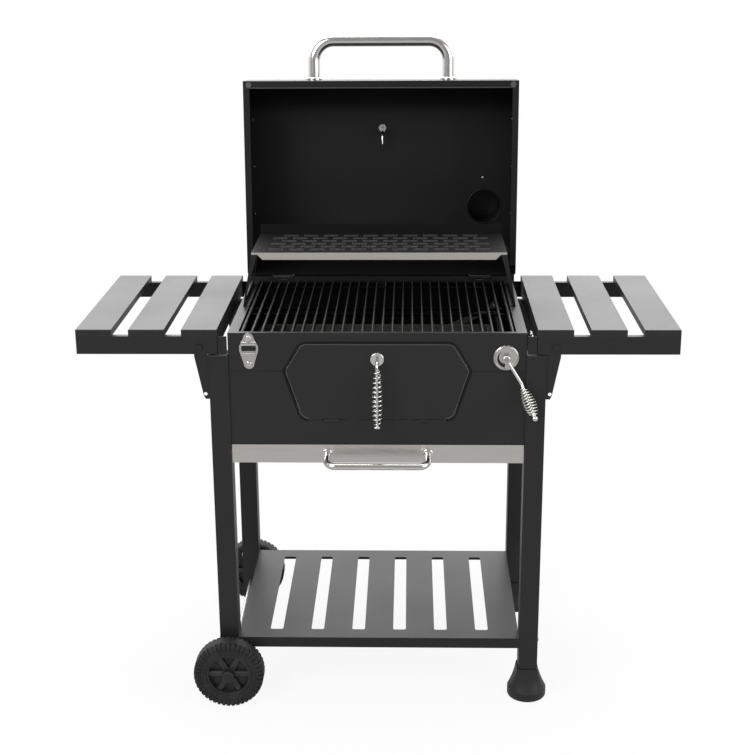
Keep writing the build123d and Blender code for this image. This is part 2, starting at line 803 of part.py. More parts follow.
def lid_profile(inset, low):
    """Closed side view of the lid, as Y and Z: straight front, round brow, flat roof, round back."""
    front, back, roof = lid_front + inset, lid_back - inset, roof_z - inset
    brow, heel = lid_front_round - inset, lid_back_round - inset
    outline = [
        Line((front, low), (front, roof - brow)),
        TangentArc((front, roof - brow), (front + brow, roof), tangent=(0, 1)),
        Line((front + brow, roof), (back - heel, roof)),
        TangentArc((back - heel, roof), (back, roof - heel), tangent=(1, 0)),
        Line((back, roof - heel), (back, low)),
        Line((back, low), (front, low)),
    ]
    return make_face(Wire(outline))


def across(sketch, x_low, x_high):
    """A sketch drawn as Y and Z, carried from one X to another."""
    return extrude(Plane.YZ.offset(x_low) * sketch, x_high - x_low)


def lid_wrap():
    """Bent sheet that makes the front, brow, roof and back of the lid."""
    half = lid_half - sheet
    wrap = across(lid_profile(0, lid_rim), -half, half)
    wrap -= across(lid_profile(sheet, lid_rim - 1), -half, half)
    wrap += span((-half, half), (lid_front, lid_front + lid_hem), (lid_rim, lid_rim + sheet))
    hole = (chimney_x, chimney_y)
    wrap -= rod((*hole, roof_z - 2 * sheet), (*hole, roof_z + 1), chimney_radius - sheet)
    return wrap - rod((0, thermo_y, roof_z - 2 * sheet), (0, thermo_y, roof_z + 1), thermo_stem + fit_gap)


def lid_end():
    """Left end plate of the lid with its rim folded inwards."""
    plate = across(lid_profile(0, lid_rim), -lid_half, -lid_half + sheet)
    corner = plate.edges().filter_by(Axis.X).sort_by_distance((-lid_half, lid_back, lid_rim))[0]
    plate = fillet(corner, lid_corner)
    flange_x = (-lid_half + sheet, -lid_half + sheet + lid_flange)
    flange_y = (lid_front + lid_hem, lid_back - 2 * lid_corner)
    return plate + span(flange_x, flange_y, (lid_rim, lid_rim + sheet))


def hinge_pair(side):
    """Fixed leaf with the pin, and the lid leaf that turns on it, both with the lid closed."""
    middle = side * hinge_x
    half = hinge_leaf / 2
    share = hinge_leaf / 6
    axis = (hinge_y, hinge_z)
    thick = hinge_barrel / 3
    clear = hinge_barrel + 1
    fixed_y = (box_back, box_back + thick)
    fixed = span((middle - half, middle + half), fixed_y, (hinge_z - hinge_leaf, hinge_z - clear))
    for end in (-1, 1):
        near, far = middle + end * (share + seat_gap), middle + end * half
        ends = sorted((near, far))
        fixed += span(ends, fixed_y, (hinge_z - 2 * clear, hinge_z))
        fixed += rod((near, *axis), (far, *axis), hinge_barrel)
    fixed += rod((middle - half, *axis), (middle + half, *axis), hinge_pin)
    moving_y = (lid_back, lid_back + thick)
    moving = span((middle - half, middle + half), moving_y, (hinge_z + clear, hinge_z + hinge_leaf))
    moving += span((middle - share, middle + share), moving_y, (hinge_z, hinge_z + 2 * clear))
    moving += rod((middle - share, *axis), (middle + share, *axis), hinge_barrel)
    moving -= rod((middle - half, *axis), (middle + half, *axis), hinge_pin + fit_gap)
    return fixed, moving


def lid_handle():
    """Bent tube handle with round collars, standing off the lid front."""
    reach = lid_front - handle_reach + handle_rod
    path = FilletPolyline(
        (-handle_half, lid_front, handle_height),
        (-handle_half, reach, handle_height),
        (handle_half, reach, handle_height),
        (handle_half, lid_front, handle_height),
        radius=handle_bend,
    )
    tube = swept(path, handle_rod)
    for side in (-handle_half, handle_half):
        face = (side, lid_front, handle_height)
        collar = rod(face, (side, lid_front - handle_collar_thick, handle_height), handle_collar)
        tube += fillet(collar.edges().sort_by(Axis.Y)[0], handle_collar_thick * 0.5)
    return tube - swept(path, handle_rod - sheet)


def chimney():
    """Chimney pipe with its base ring and the pin that its cap swings on."""
    foot = (chimney_x, chimney_y, roof_z)
    top = (chimney_x, chimney_y, roof_z + chimney_height)
    pipe = rod(foot, top, chimney_radius)
    pipe += rod(foot, (chimney_x, chimney_y, roof_z + sheet), chimney_radius + chimney_ring)
    lug_x = (cap_pin_x - 2 * cap_pin, chimney_x)
    lug_y = (chimney_y - 2 * cap_pin, chimney_y + 2 * cap_pin)
    pipe += span(lug_x, lug_y, (top[2] - chimney_lug, top[2]))
    pin_top = cap_low + cap_thick + seat_gap
    pipe += rod((cap_pin_x, chimney_y, top[2] - chimney_lug), (cap_pin_x, chimney_y, pin_top), cap_pin)
    head = (cap_pin_x, chimney_y, pin_top), (cap_pin_x, chimney_y, pin_top + cap_thick)
    pipe += rod(*head, 2 * cap_pin)
    return pipe - rod(foot, (chimney_x, chimney_y, top[2] + sheet), chimney_radius - sheet)


def chimney_cap():
    """Swinging cap: round plate, ear on the pin and a bent tab to push."""
    radius = chimney_radius + cap_over
    disc = rod((chimney_x, chimney_y, cap_low), (chimney_x, chimney_y, cap_low + cap_thick), radius)
    ear_x = (cap_pin_x, chimney_x)
    ear_y = (chimney_y - 3 * cap_pin, chimney_y + 3 * cap_pin)
    disc += span(ear_x, ear_y, (cap_low, cap_low + cap_thick))
    disc += rod((cap_pin_x, chimney_y, cap_low), (cap_pin_x, chimney_y, cap_low + cap_thick), 3 * cap_pin)
    tab_x = (chimney_x + radius - 2, chimney_x + radius + cap_tab)
    disc += span(tab_x, ear_y, (cap_low, cap_low + cap_thick))
    tip_x = (tab_x[1] - cap_thick, tab_x[1])
    disc += span(tip_x, ear_y, (cap_low, cap_low + cap_tab))
    hole = (cap_pin_x, chimney_y, cap_low - 1), (cap_pin_x, chimney_y, cap_low + 2 * cap_thick)
    return disc - rod(*hole, cap_pin + fit_gap)


def thermometer():
    """Dial case on the roof with its stem through the sheet."""
    face = roof_z + thermo_case
    case = rod((0, thermo_y, roof_z), (0, thermo_y, face), thermo_dial)
    case = fillet(case.edges().sort_by(Axis.Z)[-1], thermo_case * 0.25)
    recess = (0, thermo_y, face - thermo_case * 0.2), (0, thermo_y, face + 1)
    case -= rod(*recess, thermo_dial * 0.86)
    return case + rod((0, thermo_y, roof_z - thermo_reach), (0, thermo_y, roof_z), thermo_stem)


def make_lid():
    """All pieces of the lid, closed first and then swung open."""
    keep("lid_wrap", swung_open(lid_wrap()))
    keep("lid_left_end", swung_open(lid_end()))
    keep("lid_right_end", swung_open(mirrored(lid_end())))
    pairs = [hinge_pair(side) for side in (-1, 1)]
    keep("firebox_hinge_leaves", *[fixed for fixed, moving in pairs])
    keep("lid_hinge_leaves", *[swung_open(moving) for fixed, moving in pairs])
    keep("lid_handle", swung_open(lid_handle()))
    inner = lid_front + sheet
    heads = [bolt((s * handle_half, inner, handle_height), (0, 1, 0)) for s in (-1, 1)]
    keep("lid_handle_bolts", *[swung_open(head) for head in heads])
    bumper_y = lid_front + lid_hem / 2
    bumpers = []
    for side in (-1, 1):
        x_mid = side * (lid_half - lid_flange)
        low = (x_mid, bumper_y, box_rim + seat_gap)
        bumpers.append(swung_open(rod(low, (x_mid, bumper_y, lid_rim), bumper_radius)))
    keep("lid_bumpers", *bumpers)
    keep("thermometer", swung_open(thermometer()))
    nut_low = roof_z - sheet - thermo_nut * 0.6
    nut = Pos(0, thermo_y, nut_low) * extrude(RegularPolygon(thermo_nut, 6), thermo_nut * 0.6)
    nut -= rod((0, thermo_y, nut_low - 1), (0, thermo_y, roof_z), thermo_stem + fit_gap)
    keep("thermometer_nut", swung_open(nut))
    keep("chimney_pipe", swung_open(chimney()))
    keep("chimney_cap", swung_open(chimney_cap()))


def rack_bracket():
    """Left rack bracket: leaning side plate with a window, tapered front edge and two folded flanges."""
    foot_x = -box_half + rim_flange - bracket_foot
    head_x = -rack_half
    top = rack_height - sheet
    y_range = (rack_front + rack_lip_thick, rack_front + rack_depth - rack_lip_thick)
    lean = [
        (foot_x, box_rim),
        (foot_x + sheet, box_rim),
        (head_x + sheet, top),
        (head_x, top),
    ]
    depth = y_range[1] - y_range[0]
    plate = upright(make_face(Polyline(*lean, close=True)), y_range[0], depth)
    low, high = box_rim + bracket_frame, top - bracket_frame
    plate -= span(
        (-box_half, head_x + bracket_foot),
        (y_range[0] + bracket_frame, y_range[1] - bracket_frame),
        (low, high),
    )
    taper = [(foot_x, box_rim), (foot_x + sheet, box_rim), (head_x + bracket_foot, top), (head_x, top)]
    plate += upright(make_face(Polyline(*taper, close=True)), y_range[0], sheet)
    plate += span((head_x, head_x + bracket_foot), y_range, (top - sheet, top))
    return plate + span((foot_x, -box_half + rim_flange), y_range, (box_rim, box_rim + sheet))


def warming_rack():
    """Warming rack: slotted plate with a raised back edge."""
    top = rack_height
    y_range = (rack_front + rack_lip_thick, rack_front + rack_depth)
    rack = span((-rack_half, rack_half), y_range, (top - sheet, top))
    rack += span((-rack_half, rack_half), (y_range[1] - sheet, y_range[1]), (top - sheet, top + rack_back))
    inner_half = rack_half - bracket_foot - rack_margin
    pitch_x = 2 * inner_half / rack_columns
    pitch_y = (rack_depth - 2 * rack_margin) / rack_rows
    slot = Box(pitch_x * 0.72, pitch_y * 0.26, 4 * sheet)
    cuts = []
    for row in range(rack_rows):
        shift = 0.5 if row % 2 else 0.0
        for column in range(rack_columns - row % 2):
            x_mid = -inner_half + pitch_x * (column + 0.5 + shift)
            y_mid = y_range[0] + rack_margin + pitch_y * (row + 0.5)
            cuts.append(Pos(x_mid, y_mid, top) * slot)
    return rack - cuts


def rack_trim():
    """Bright front strip of the rack, with its lower corners cut back."""
    top, low = rack_height, rack_height - rack_lip
    shoulder = top - rack_lip * 0.3
    short = rack_half - bracket_foot
    outline = [
        (-rack_half, top),
        (rack_half, top),
        (rack_half, shoulder),
        (short, shoulder),
        (short - (shoulder - low), low),
        (-short + (shoulder - low), low),
        (-short, shoulder),
        (-rack_half, shoulder),
    ]
    return upright(make_face(Polyline(*outline, close=True)), rack_front, rack_lip_thick)


def make_rack():
    """Warming rack on its two brackets."""
    keep("rack_left_bracket", rack_bracket())
    keep("rack_right_bracket", mirrored(rack_bracket()))
    keep("warming_rack", warming_rack())
    keep("rack_trim", rack_trim())


def table_frame():
    """Right table frame: front and back aprons with carrying flanges, and two cross rails."""
    top = table_top - slat_lip
    outer = table_outer
    frame = None
    for y_face, inward in ((0, 1), (table_depth, -1)):
        plate_y = sorted((y_face, y_face + inward * table_sheet))
        flange_y = sorted((y_face, y_face + inward * apron_flange))
        apron = span((table_inner, outer), plate_y, (apron_bottom, top))
        apron += span((table_inner, outer), flange_y, (top - table_sheet, top))
        frame = apron if frame is None else frame + apron
    frame += span((outer - table_sheet, outer), (0, table_depth), (apron_bottom, top))
    frame += span((table_inner, table_inner + table_sheet), (0, table_depth), (top - rail_height, top))
    hole = (pivot_x, -1, pivot_height), (pivot_x, table_depth + 1, pivot_height)
    return frame - rod(*hole, pivot_pin + fit_gap)


def table_slats():
    """Right table slats: shallow folded trays, open below."""
    slats = []
    low = table_top - slat_lip
    for number in range(slats_each):
        left = table_inner + (slat_width + slat_gap) * number
        slat = span((left, left + slat_width), (0, table_depth), (low, table_top))
        slat = fillet(slat.faces().sort_by(Axis.Z)[-1].edges(), table_sheet)
        slat -= span(
            (left + table_sheet, left + slat_width - table_sheet),
            (table_sheet, table_depth - table_sheet),
            (low - 1, table_top - table_sheet),
        )
        slats.append(slat)
    return slats


def table_bracket(y_leg, y_apron, inward):
    """Right table bracket on a leg: bolted flange, standing plate with a hole, and the pivot pin."""
    top = pivot_height + 2 * pivot_pin + bracket_sheet
    low = pivot_height - bracket_drop - 2 * pivot_pin
    face = y_apron + inward * (table_sheet + seat_gap)
    plate_y = sorted((face, face + inward * bracket_sheet))
    wide = pivot_x + 2.5 * pivot_pin
    narrow = leg_outer + 3 * pivot_pin
    outline = [
        (leg_outer, low),
        (narrow - pivot_pin, low),
        (narrow, low + 2 * pivot_pin),
        (wide, leg_top),
        (wide, top),
        (leg_outer + pivot_pin, top),
        (leg_outer, leg_top),
    ]
    flat = make_face(Polyline(*outline, close=True))
    flat -= Pos(leg_outer + 2 * pivot_pin, low + 2.5 * pivot_pin) * Circle(pivot_pin * 0.9)
    plate = upright(flat, plate_y[0], bracket_sheet)
    flange_end = y_leg + inward * leg_size * 0.4
    flange_y = sorted((face, flange_end))
    plate += span((leg_outer, leg_outer + bracket_sheet), flange_y, (low, leg_top))
    outside = y_apron - inward * seat_gap
    plate += rod((pivot_x, face, pivot_height), (pivot_x, outside, pivot_height), pivot_pin)
    head_end = outside - inward * bracket_sheet
    return plate + rod((pivot_x, outside, pivot_height), (pivot_x, head_end, pivot_height), pivot_pin * 1.6)


def make_tables():
    """Both folding side tables and the brackets that carry them."""
    frame, slats = table_frame(), table_slats()
    front, rear = leg_centres_y
    brackets = [table_bracket(front, 0, 1), table_bracket(rear, table_depth, -1)]
    keep("right_table_frame", frame)
    keep("right_table_slats", *slats)
    keep("right_table_brackets", *brackets)
    keep("left_table_frame", mirrored(frame))
    keep("left_table_slats", *[mirrored(slat) for slat in slats])
    keep("left_table_brackets", *[mirrored(bracket) for bracket in brackets])


def make_bolts():
    """Pan heads of the bolts that hold the shelf, the firebox and the table brackets to the legs."""
    heads = []
    shelf_z = shelf_top - shelf_lip / 2
    plate_face = leg_outer + bracket_sheet
    inner_y = (leg_size / 2, rear_leg + leg_size * 0.3)
    for side in (-1, 1):
        out = (side, 0, 0)
        inwards = (-side, 0, 0)
        for y_mid in leg_centres_y:
            heads.append(bolt((side * leg_outer, y_mid, shelf_z), out))
            for drop in bracket_bolt_drops:
                heads.append(bolt((side * plate_face, y_mid, leg_top - drop), out))
        for y_mid in inner_y:
            for drop in firebox_bolt_drops:
                heads.append(bolt((side * wall_inner, y_mid, leg_top - drop), inwards))
    keep("frame_bolts", *heads)


make_trolley()
make_firebox()
make_door()
make_crank()
make_charcoal_tray()
make_grates()
make_ash_drawer()
make_lid()
make_rack()
make_tables()
make_bolts()

# The origin is on the floor, under the middle of the whole trolley with its lid open
boxes = [piece.bounding_box() for piece in pieces.values()]
middle_y = (min(box.min.Y for box in boxes) + max(box.max.Y for box in boxes)) / 2
print("middle of the depth", round(middle_y, 4))
os.makedirs("parts", exist_ok=True)
for node, piece in pieces.items():
    export_step(Pos(0, -middle_y, 0) * piece, f"parts/{node}.step")
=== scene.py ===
"""Charcoal grill trolley with its lid open: finishes, small fittings, studio and camera."""

from __future__ import annotations

import logging
import math
from collections.abc import Callable
from dataclasses import dataclass
from enum import Enum
from functools import cache
from typing import Any, ClassVar, Union

import bpy
import numpy as np
from mathutils import Matrix, Vector

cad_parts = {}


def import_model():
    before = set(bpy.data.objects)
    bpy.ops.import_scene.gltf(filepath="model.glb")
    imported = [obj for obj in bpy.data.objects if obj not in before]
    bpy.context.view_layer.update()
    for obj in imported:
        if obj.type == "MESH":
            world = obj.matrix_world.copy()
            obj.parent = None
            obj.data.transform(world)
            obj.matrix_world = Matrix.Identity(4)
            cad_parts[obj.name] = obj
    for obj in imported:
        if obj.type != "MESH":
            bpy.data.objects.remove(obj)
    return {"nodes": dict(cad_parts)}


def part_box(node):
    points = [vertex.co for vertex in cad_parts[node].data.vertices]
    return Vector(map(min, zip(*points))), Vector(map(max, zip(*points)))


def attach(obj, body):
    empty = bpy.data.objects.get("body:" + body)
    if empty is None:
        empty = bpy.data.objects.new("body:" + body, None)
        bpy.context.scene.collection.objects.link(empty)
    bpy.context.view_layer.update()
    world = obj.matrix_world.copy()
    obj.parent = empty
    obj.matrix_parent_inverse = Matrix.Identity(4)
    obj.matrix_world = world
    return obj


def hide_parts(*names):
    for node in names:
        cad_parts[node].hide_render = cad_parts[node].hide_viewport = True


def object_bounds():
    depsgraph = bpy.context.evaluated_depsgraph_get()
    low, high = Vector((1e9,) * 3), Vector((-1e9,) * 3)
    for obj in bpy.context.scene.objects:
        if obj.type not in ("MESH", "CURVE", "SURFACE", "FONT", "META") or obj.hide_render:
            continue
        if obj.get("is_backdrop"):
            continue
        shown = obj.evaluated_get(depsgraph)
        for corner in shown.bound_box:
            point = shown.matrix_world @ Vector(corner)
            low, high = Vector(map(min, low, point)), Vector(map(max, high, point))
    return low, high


LOG = logging.getLogger("grill_trolley")
# Y of the frame's origin from the front faces of the legs, in metres.
DEPTH_MIDDLE = 0.3395955
# Angles in degrees above which an edge stays sharp, on plates and on round pieces.
PLATE, ROUND = 35.0, 60.0
# Points round each kind of turned or swept form.
BEAD_SIDES, SECTION_SIDES, EDGE_SIDES, WIRE_SIDES, PROBE_SIDES = 64, 12, 10, 12, 14
RIVET_SIDES, HUB_SIDES, DIAL_SIDES, NUT_SIDES = 20, 24, 96, 6
# Points along arcs and along the probe.
ARC_POINTS, LUG_POINTS, CORNER_POINTS, MARK_POINTS, PROBE_POINTS = 9, 8, 7, 40, 24
X_AXIS, Y_AXIS, Z_AXIS = np.eye(3)
Triple = tuple[float, float, float]
Colour = Triple
Pair = tuple[float, float]
Array, Piece = np.ndarray, bpy.types.Object
WHITE = (1.0, 1.0, 1.0, 1.0)


def operator(kind: str, reflected: bool = False) -> Callable[[Expr, Value], Expr]:
    """Makes the method for one Python operator on shader expressions.

    Args:
        kind: operation of the Math node that the operator adds.
        reflected: whether the expression is the operator's right side.

    Returns:
        The method.
    """

    def method(self: Expr, other: Value) -> Expr:
        """Adds the Math node."""
        first, second = (other, self) if reflected else (self, other)
        return self.graph.node("ShaderNodeMath", {"operation": kind}, {0: first, 1: second})

    return method


class Expr:
    """A shader socket that takes part in Python sums; a comparison gives one or nought."""

    def __init__(self, graph: Tree, socket: bpy.types.NodeSocket) -> None:
        """Keeps the graph that the socket belongs to."""
        self.graph = graph
        self.socket = socket

    __add__, __radd__ = operator("ADD"), operator("ADD", reflected=True)
    __sub__, __rsub__ = operator("SUBTRACT"), operator("SUBTRACT", reflected=True)
    __mul__, __rmul__ = operator("MULTIPLY"), operator("MULTIPLY", reflected=True)
    __gt__, __lt__ = operator("GREATER_THAN"), operator("LESS_THAN")
    __or__ = operator("MAXIMUM")
    ping_pong = operator("PINGPONG")

    def beside(self, output: int | str) -> Expr:
        """Another output of the same node."""
        return Expr(self.graph, self.socket.node.outputs[output])

    def within(self, low: float, high: float) -> Expr:
        """One where the value lies between two limits, else nought."""
        return (self > low) * (self < high)


Value = Union[Expr, float, tuple[float, ...]]


class Tree:
    """Node tree of a material or of the world, with one way to add a node."""

    def __init__(self, owner: bpy.types.Material | bpy.types.World) -> None:
        """Empties the owner's node tree.

        Args:
            owner: the material or world.
        """
        owner.use_nodes = True
        self.tree = owner.node_tree
        self.tree.nodes.clear()

    def put(self, socket: bpy.types.NodeSocket, value: Value) -> None:
        """Links an expression to a socket, or sets a plain value on it."""
        if isinstance(value, Expr):
            self.tree.links.new(value.socket, socket)
        else:
            socket.default_value = value

    def node(
        self,
        kind: str,
        settings: dict[str, Any] | None = None,
        inputs: dict[int | str, Value] | None = None,
        output: int | str = 0,
    ) -> Expr:
        """Adds a node of any type.

        Args:
            kind: Blender's name of the node type.
            settings: properties to set first; "stops" holds a colour ramp's (place, grey) pairs.
            inputs: values or expressions for the sockets, by name or number.
            output: which output is returned.

        Returns:
            The chosen output as an expression.
        """
        made = self.tree.nodes.new(kind)
        for key, value in (settings or {}).items():
            if key == "stops":
                ramp = made.color_ramp
                for element, (place, grey) in zip(ramp.elements, value):
                    element.position = place
                    element.color = (grey, grey, grey, 1.0)
            else:
                setattr(made, key, value)
        for key, value in (inputs or {}).items():
            self.put(made.inputs[key], value)
        return Expr(self, made.outputs[output])

    def place(self, output: str = "Object") -> Expr:
        """Coordinates of the surface: its place in the object, or another output such as UV."""
        return self.node("ShaderNodeTexCoord", output=output)

    def smooth(self, value: Expr, span: Pair, ends: Pair) -> Expr:
        """Goes softly from one end value to the other while a value crosses a span."""
        inputs = {"Value": value, 1: span[0], 2: span[1], 3: ends[0], 4: ends[1]}
        return self.node("ShaderNodeMapRange", {"interpolation_type": "SMOOTHSTEP"}, inputs)

    def rays(self, *kinds: str) -> Expr:
        """One for rays of the kinds named, such as Camera or Glossy, else nought."""
        path = self.node("ShaderNodeLightPath", output=f"Is {kinds[0]} Ray")
        total = sum((path.beside(f"Is {kind} Ray") for kind in kinds[1:]), path)
        return self.node("ShaderNodeClamp", {}, {0: total})

    def end(self, kind: str, surface: Expr) -> None:
        """Leads a shader to the tree's output node."""
        self.put(self.tree.nodes.new(kind).inputs["Surface"], surface)


class Graph(Tree):
    """Material with a Principled shader and the textures that the finishes share."""

    def __init__(self, name: str) -> None:
        """Starts the material.

        Args:
            name: name of the material.
        """
        self.material = bpy.data.materials.new(name)
        super().__init__(self.material)
        surface = self.node("ShaderNodeBsdfPrincipled")
        self.shader = surface.socket.node
        self.end("ShaderNodeOutputMaterial", surface)

    def stretched(self, scale: Triple) -> Expr:
        """Object coordinates scaled along each axis, for grain that runs one way."""
        return self.node("ShaderNodeMapping", {}, {"Vector": self.place(), "Scale": scale})

    def noise(self, vector: Expr, scale: float, detail: float = 2.0) -> Expr:
        """Grey noise from nought to one, with its scale in waves per metre."""
        inputs = {"Vector": vector, "Scale": scale, "Detail": detail}
        return self.node("ShaderNodeTexNoise", {}, inputs)

    def ramp(self, value: Expr, low: float, high: float) -> Expr:
        """Stretches the span from low to high over nought to one."""
        stops = ((low, 0.0), (high, 1.0))
        return self.node("ShaderNodeValToRGB", {"stops": stops}, {"Fac": value})

    def mix(self, factor: Value, first: Colour | Expr, second: Colour | Expr) -> Expr:
        """Blends two colours by a factor."""
        ends = [c if isinstance(c, Expr) else (*c, 1.0) for c in (first, second)]
        return self.node(
            "ShaderNodeMix", {"data_type": "RGBA"}, {0: factor, 6: ends[0], 7: ends[1]}, output=2
        )

    def bump(self, height: Expr, distance: float, strength: float) -> None:
        """Raises the surface by a height, given in metres for a height of one."""
        inputs = {"Height": height, "Distance": distance, "Strength": strength}
        self.set(Normal=self.node("ShaderNodeBump", {}, inputs))

    def set(self, **values: Value) -> None:
        """Sets sockets of the Principled shader; an underscore stands for a space."""
        for name, value in values.items():
            self.put(self.shader.inputs[name.replace("_", " ")], value)


def sway(mean: float, *parts: tuple[Expr, float]) -> Expr:
    """A mean that grey values push up and down, each over its own span."""
    return sum(((grey - 0.5) * span for grey, span in parts), mean)


@dataclass(frozen=True)
class Coat:
    """What the finishes of one colour share.

    Attributes:
        name: name of the material.
        colour: its colour, linear.
        roughness: mean roughness.
    """

    name: str
    colour: Colour
    roughness: float

    def tone(self, graph: Graph, grey: Expr, dark: float, light: float) -> Expr:
        """The colour times dark where a grey value is nought, and times light where it is one."""
        ends = [tuple(part * factor for part in self.colour) for factor in (dark, light)]
        return graph.mix(grey, *ends)


@dataclass(frozen=True)
class PowderCoat(Coat):
    """Baked powder paint: fine orange peel, faint clouds of gloss and a little dust.

    Attributes:
        specular: strength of the clear reflection.
        peel: height of the orange peel in metres.
    """

    specular: float = 0.3
    peel: float = 0.00006

    def material(self) -> bpy.types.Material:
        """Builds the material: clouds vary gloss and tone, two noises make the peel."""
        graph = Graph(self.name)
        where = graph.place()
        cloud = graph.noise(where, 6.0, 3.0)
        peel = graph.noise(where, 420.0)
        grain = graph.noise(where, 1500.0)
        dust = graph.ramp(graph.noise(where, 2400.0, 1.0), 0.66, 0.8)
        tone = self.tone(graph, cloud, 0.86, 1.14)
        graph.set(
            Base_Color=graph.mix(dust * 0.10, tone, (0.12, 0.12, 0.12)),
            Roughness=sway(self.roughness, (cloud, 0.14), (grain, 0.08)),
            Specular_IOR_Level=self.specular,
        )
        graph.bump(peel * 0.7 + grain * 0.3, self.peel, 0.5)
        return graph.material


@dataclass(frozen=True)
class BrushedSteel(Coat):
    """Stainless sheet with a grain that runs one way.

    Attributes:
        stretch: waves per metre along X, Y and Z; the grain runs along the smallest.
    """

    stretch: Triple

    def material(self) -> bpy.types.Material:
        """Builds the material: stretched noise streaks colour, roughness and height."""
        graph = Graph(self.name)
        lines = graph.noise(graph.stretched(self.stretch), 1.0, 4.0)
        smear = graph.noise(graph.place(), 9.0, 3.0)
        graph.set(
            Base_Color=self.tone(graph, lines, 0.80, 1.12),
            Roughness=sway(self.roughness, (lines, 0.22), (smear, 0.10)),
            Metallic=1.0,
        )
        graph.bump(lines, 0.00004, 0.4)
        return graph.material


@dataclass(frozen=True)
class PolishedSteel(Coat):
    """Bright tube, rod or wire with faint polishing marks and finger smears."""

    def material(self) -> bpy.types.Material:
        """Builds the material: smears vary the gloss and fine marks the height."""
        graph = Graph(self.name)
        where = graph.place()
        smear = graph.noise(where, 28.0, 4.0)
        marks = graph.noise(where, 900.0, 3.0)
        graph.set(
            Base_Color=self.tone(graph, smear, 0.90, 1.05),
            Roughness=sway(self.roughness, (smear, 0.10), (marks, 0.05)),
            Metallic=1.0,
        )
        graph.bump(marks, 0.00001, 0.3)
        return graph.material


@dataclass(frozen=True)
class Moulded(Coat):
    """Moulded black plastic or rubber with a fine grain and paler scuffs.

    Attributes:
        grain: waves per metre of the moulded grain.
        depth: height of the grain in metres.
        scuff: share of the paler scuffs.
    """

    grain: float
    depth: float
    scuff: float

    def material(self) -> bpy.types.Material:
        """Builds the material: grain in the height, scuffs in colour and roughness."""
        graph = Graph(self.name)
        where = graph.place()
        grain = graph.noise(where, self.grain, 3.0)
        scuff = graph.ramp(graph.noise(where, 38.0, 5.0), 0.52, 0.74)
        graph.set(
            Base_Color=self.tone(graph, scuff * self.scuff, 1.0, 3.2),
            Roughness=sway(self.roughness, (grain, 0.12)) + scuff * (0.10 * self.scuff),
            Specular_IOR_Level=0.35,
        )
        graph.bump(grain, self.depth, 0.6)
        return graph.material


@dataclass(frozen=True)
class DialFace:
    """Thermometer dial: pale card with printed ticks and a warm band, read from its UV map.

    U runs once round the dial and V from its centre to its rim.

    Attributes:
        name: name of the material.
        ticks: ticks in a full turn; every fifth is longer.
        sweep: share of the turn that carries the scale.
    """

    name: str
    ticks: int
    sweep: float

    def material(self) -> bpy.types.Material:
        """Builds the material: ticks where U times their count lies near a whole number."""
        graph = Graph(self.name)
        turn = graph.node("ShaderNodeSeparateXYZ", {}, {0: graph.place("UV")})
        out = turn.beside(1)
        on_scale = turn < self.sweep
        short = ((turn * self.ticks).ping_pong(0.5) < 0.10) * out.within(0.80, 0.93)
        tall = ((turn * (self.ticks / 5)).ping_pong(0.5) < 0.034) * out.within(0.68, 0.93)
        warm = on_scale * (turn > self.sweep * 0.42) * out.within(0.52, 0.62)
        card = graph.noise(graph.place(), 1800.0)
        paper = graph.mix(card, (0.66, 0.65, 0.62), (0.74, 0.73, 0.70))
        banded = graph.mix(warm, paper, (0.52, 0.10, 0.03))
        ink = (short | tall) * on_scale
        graph.set(Base_Color=graph.mix(ink, banded, (0.02, 0.02, 0.02)), Roughness=card * 0.1 + 0.35)
        return graph.material


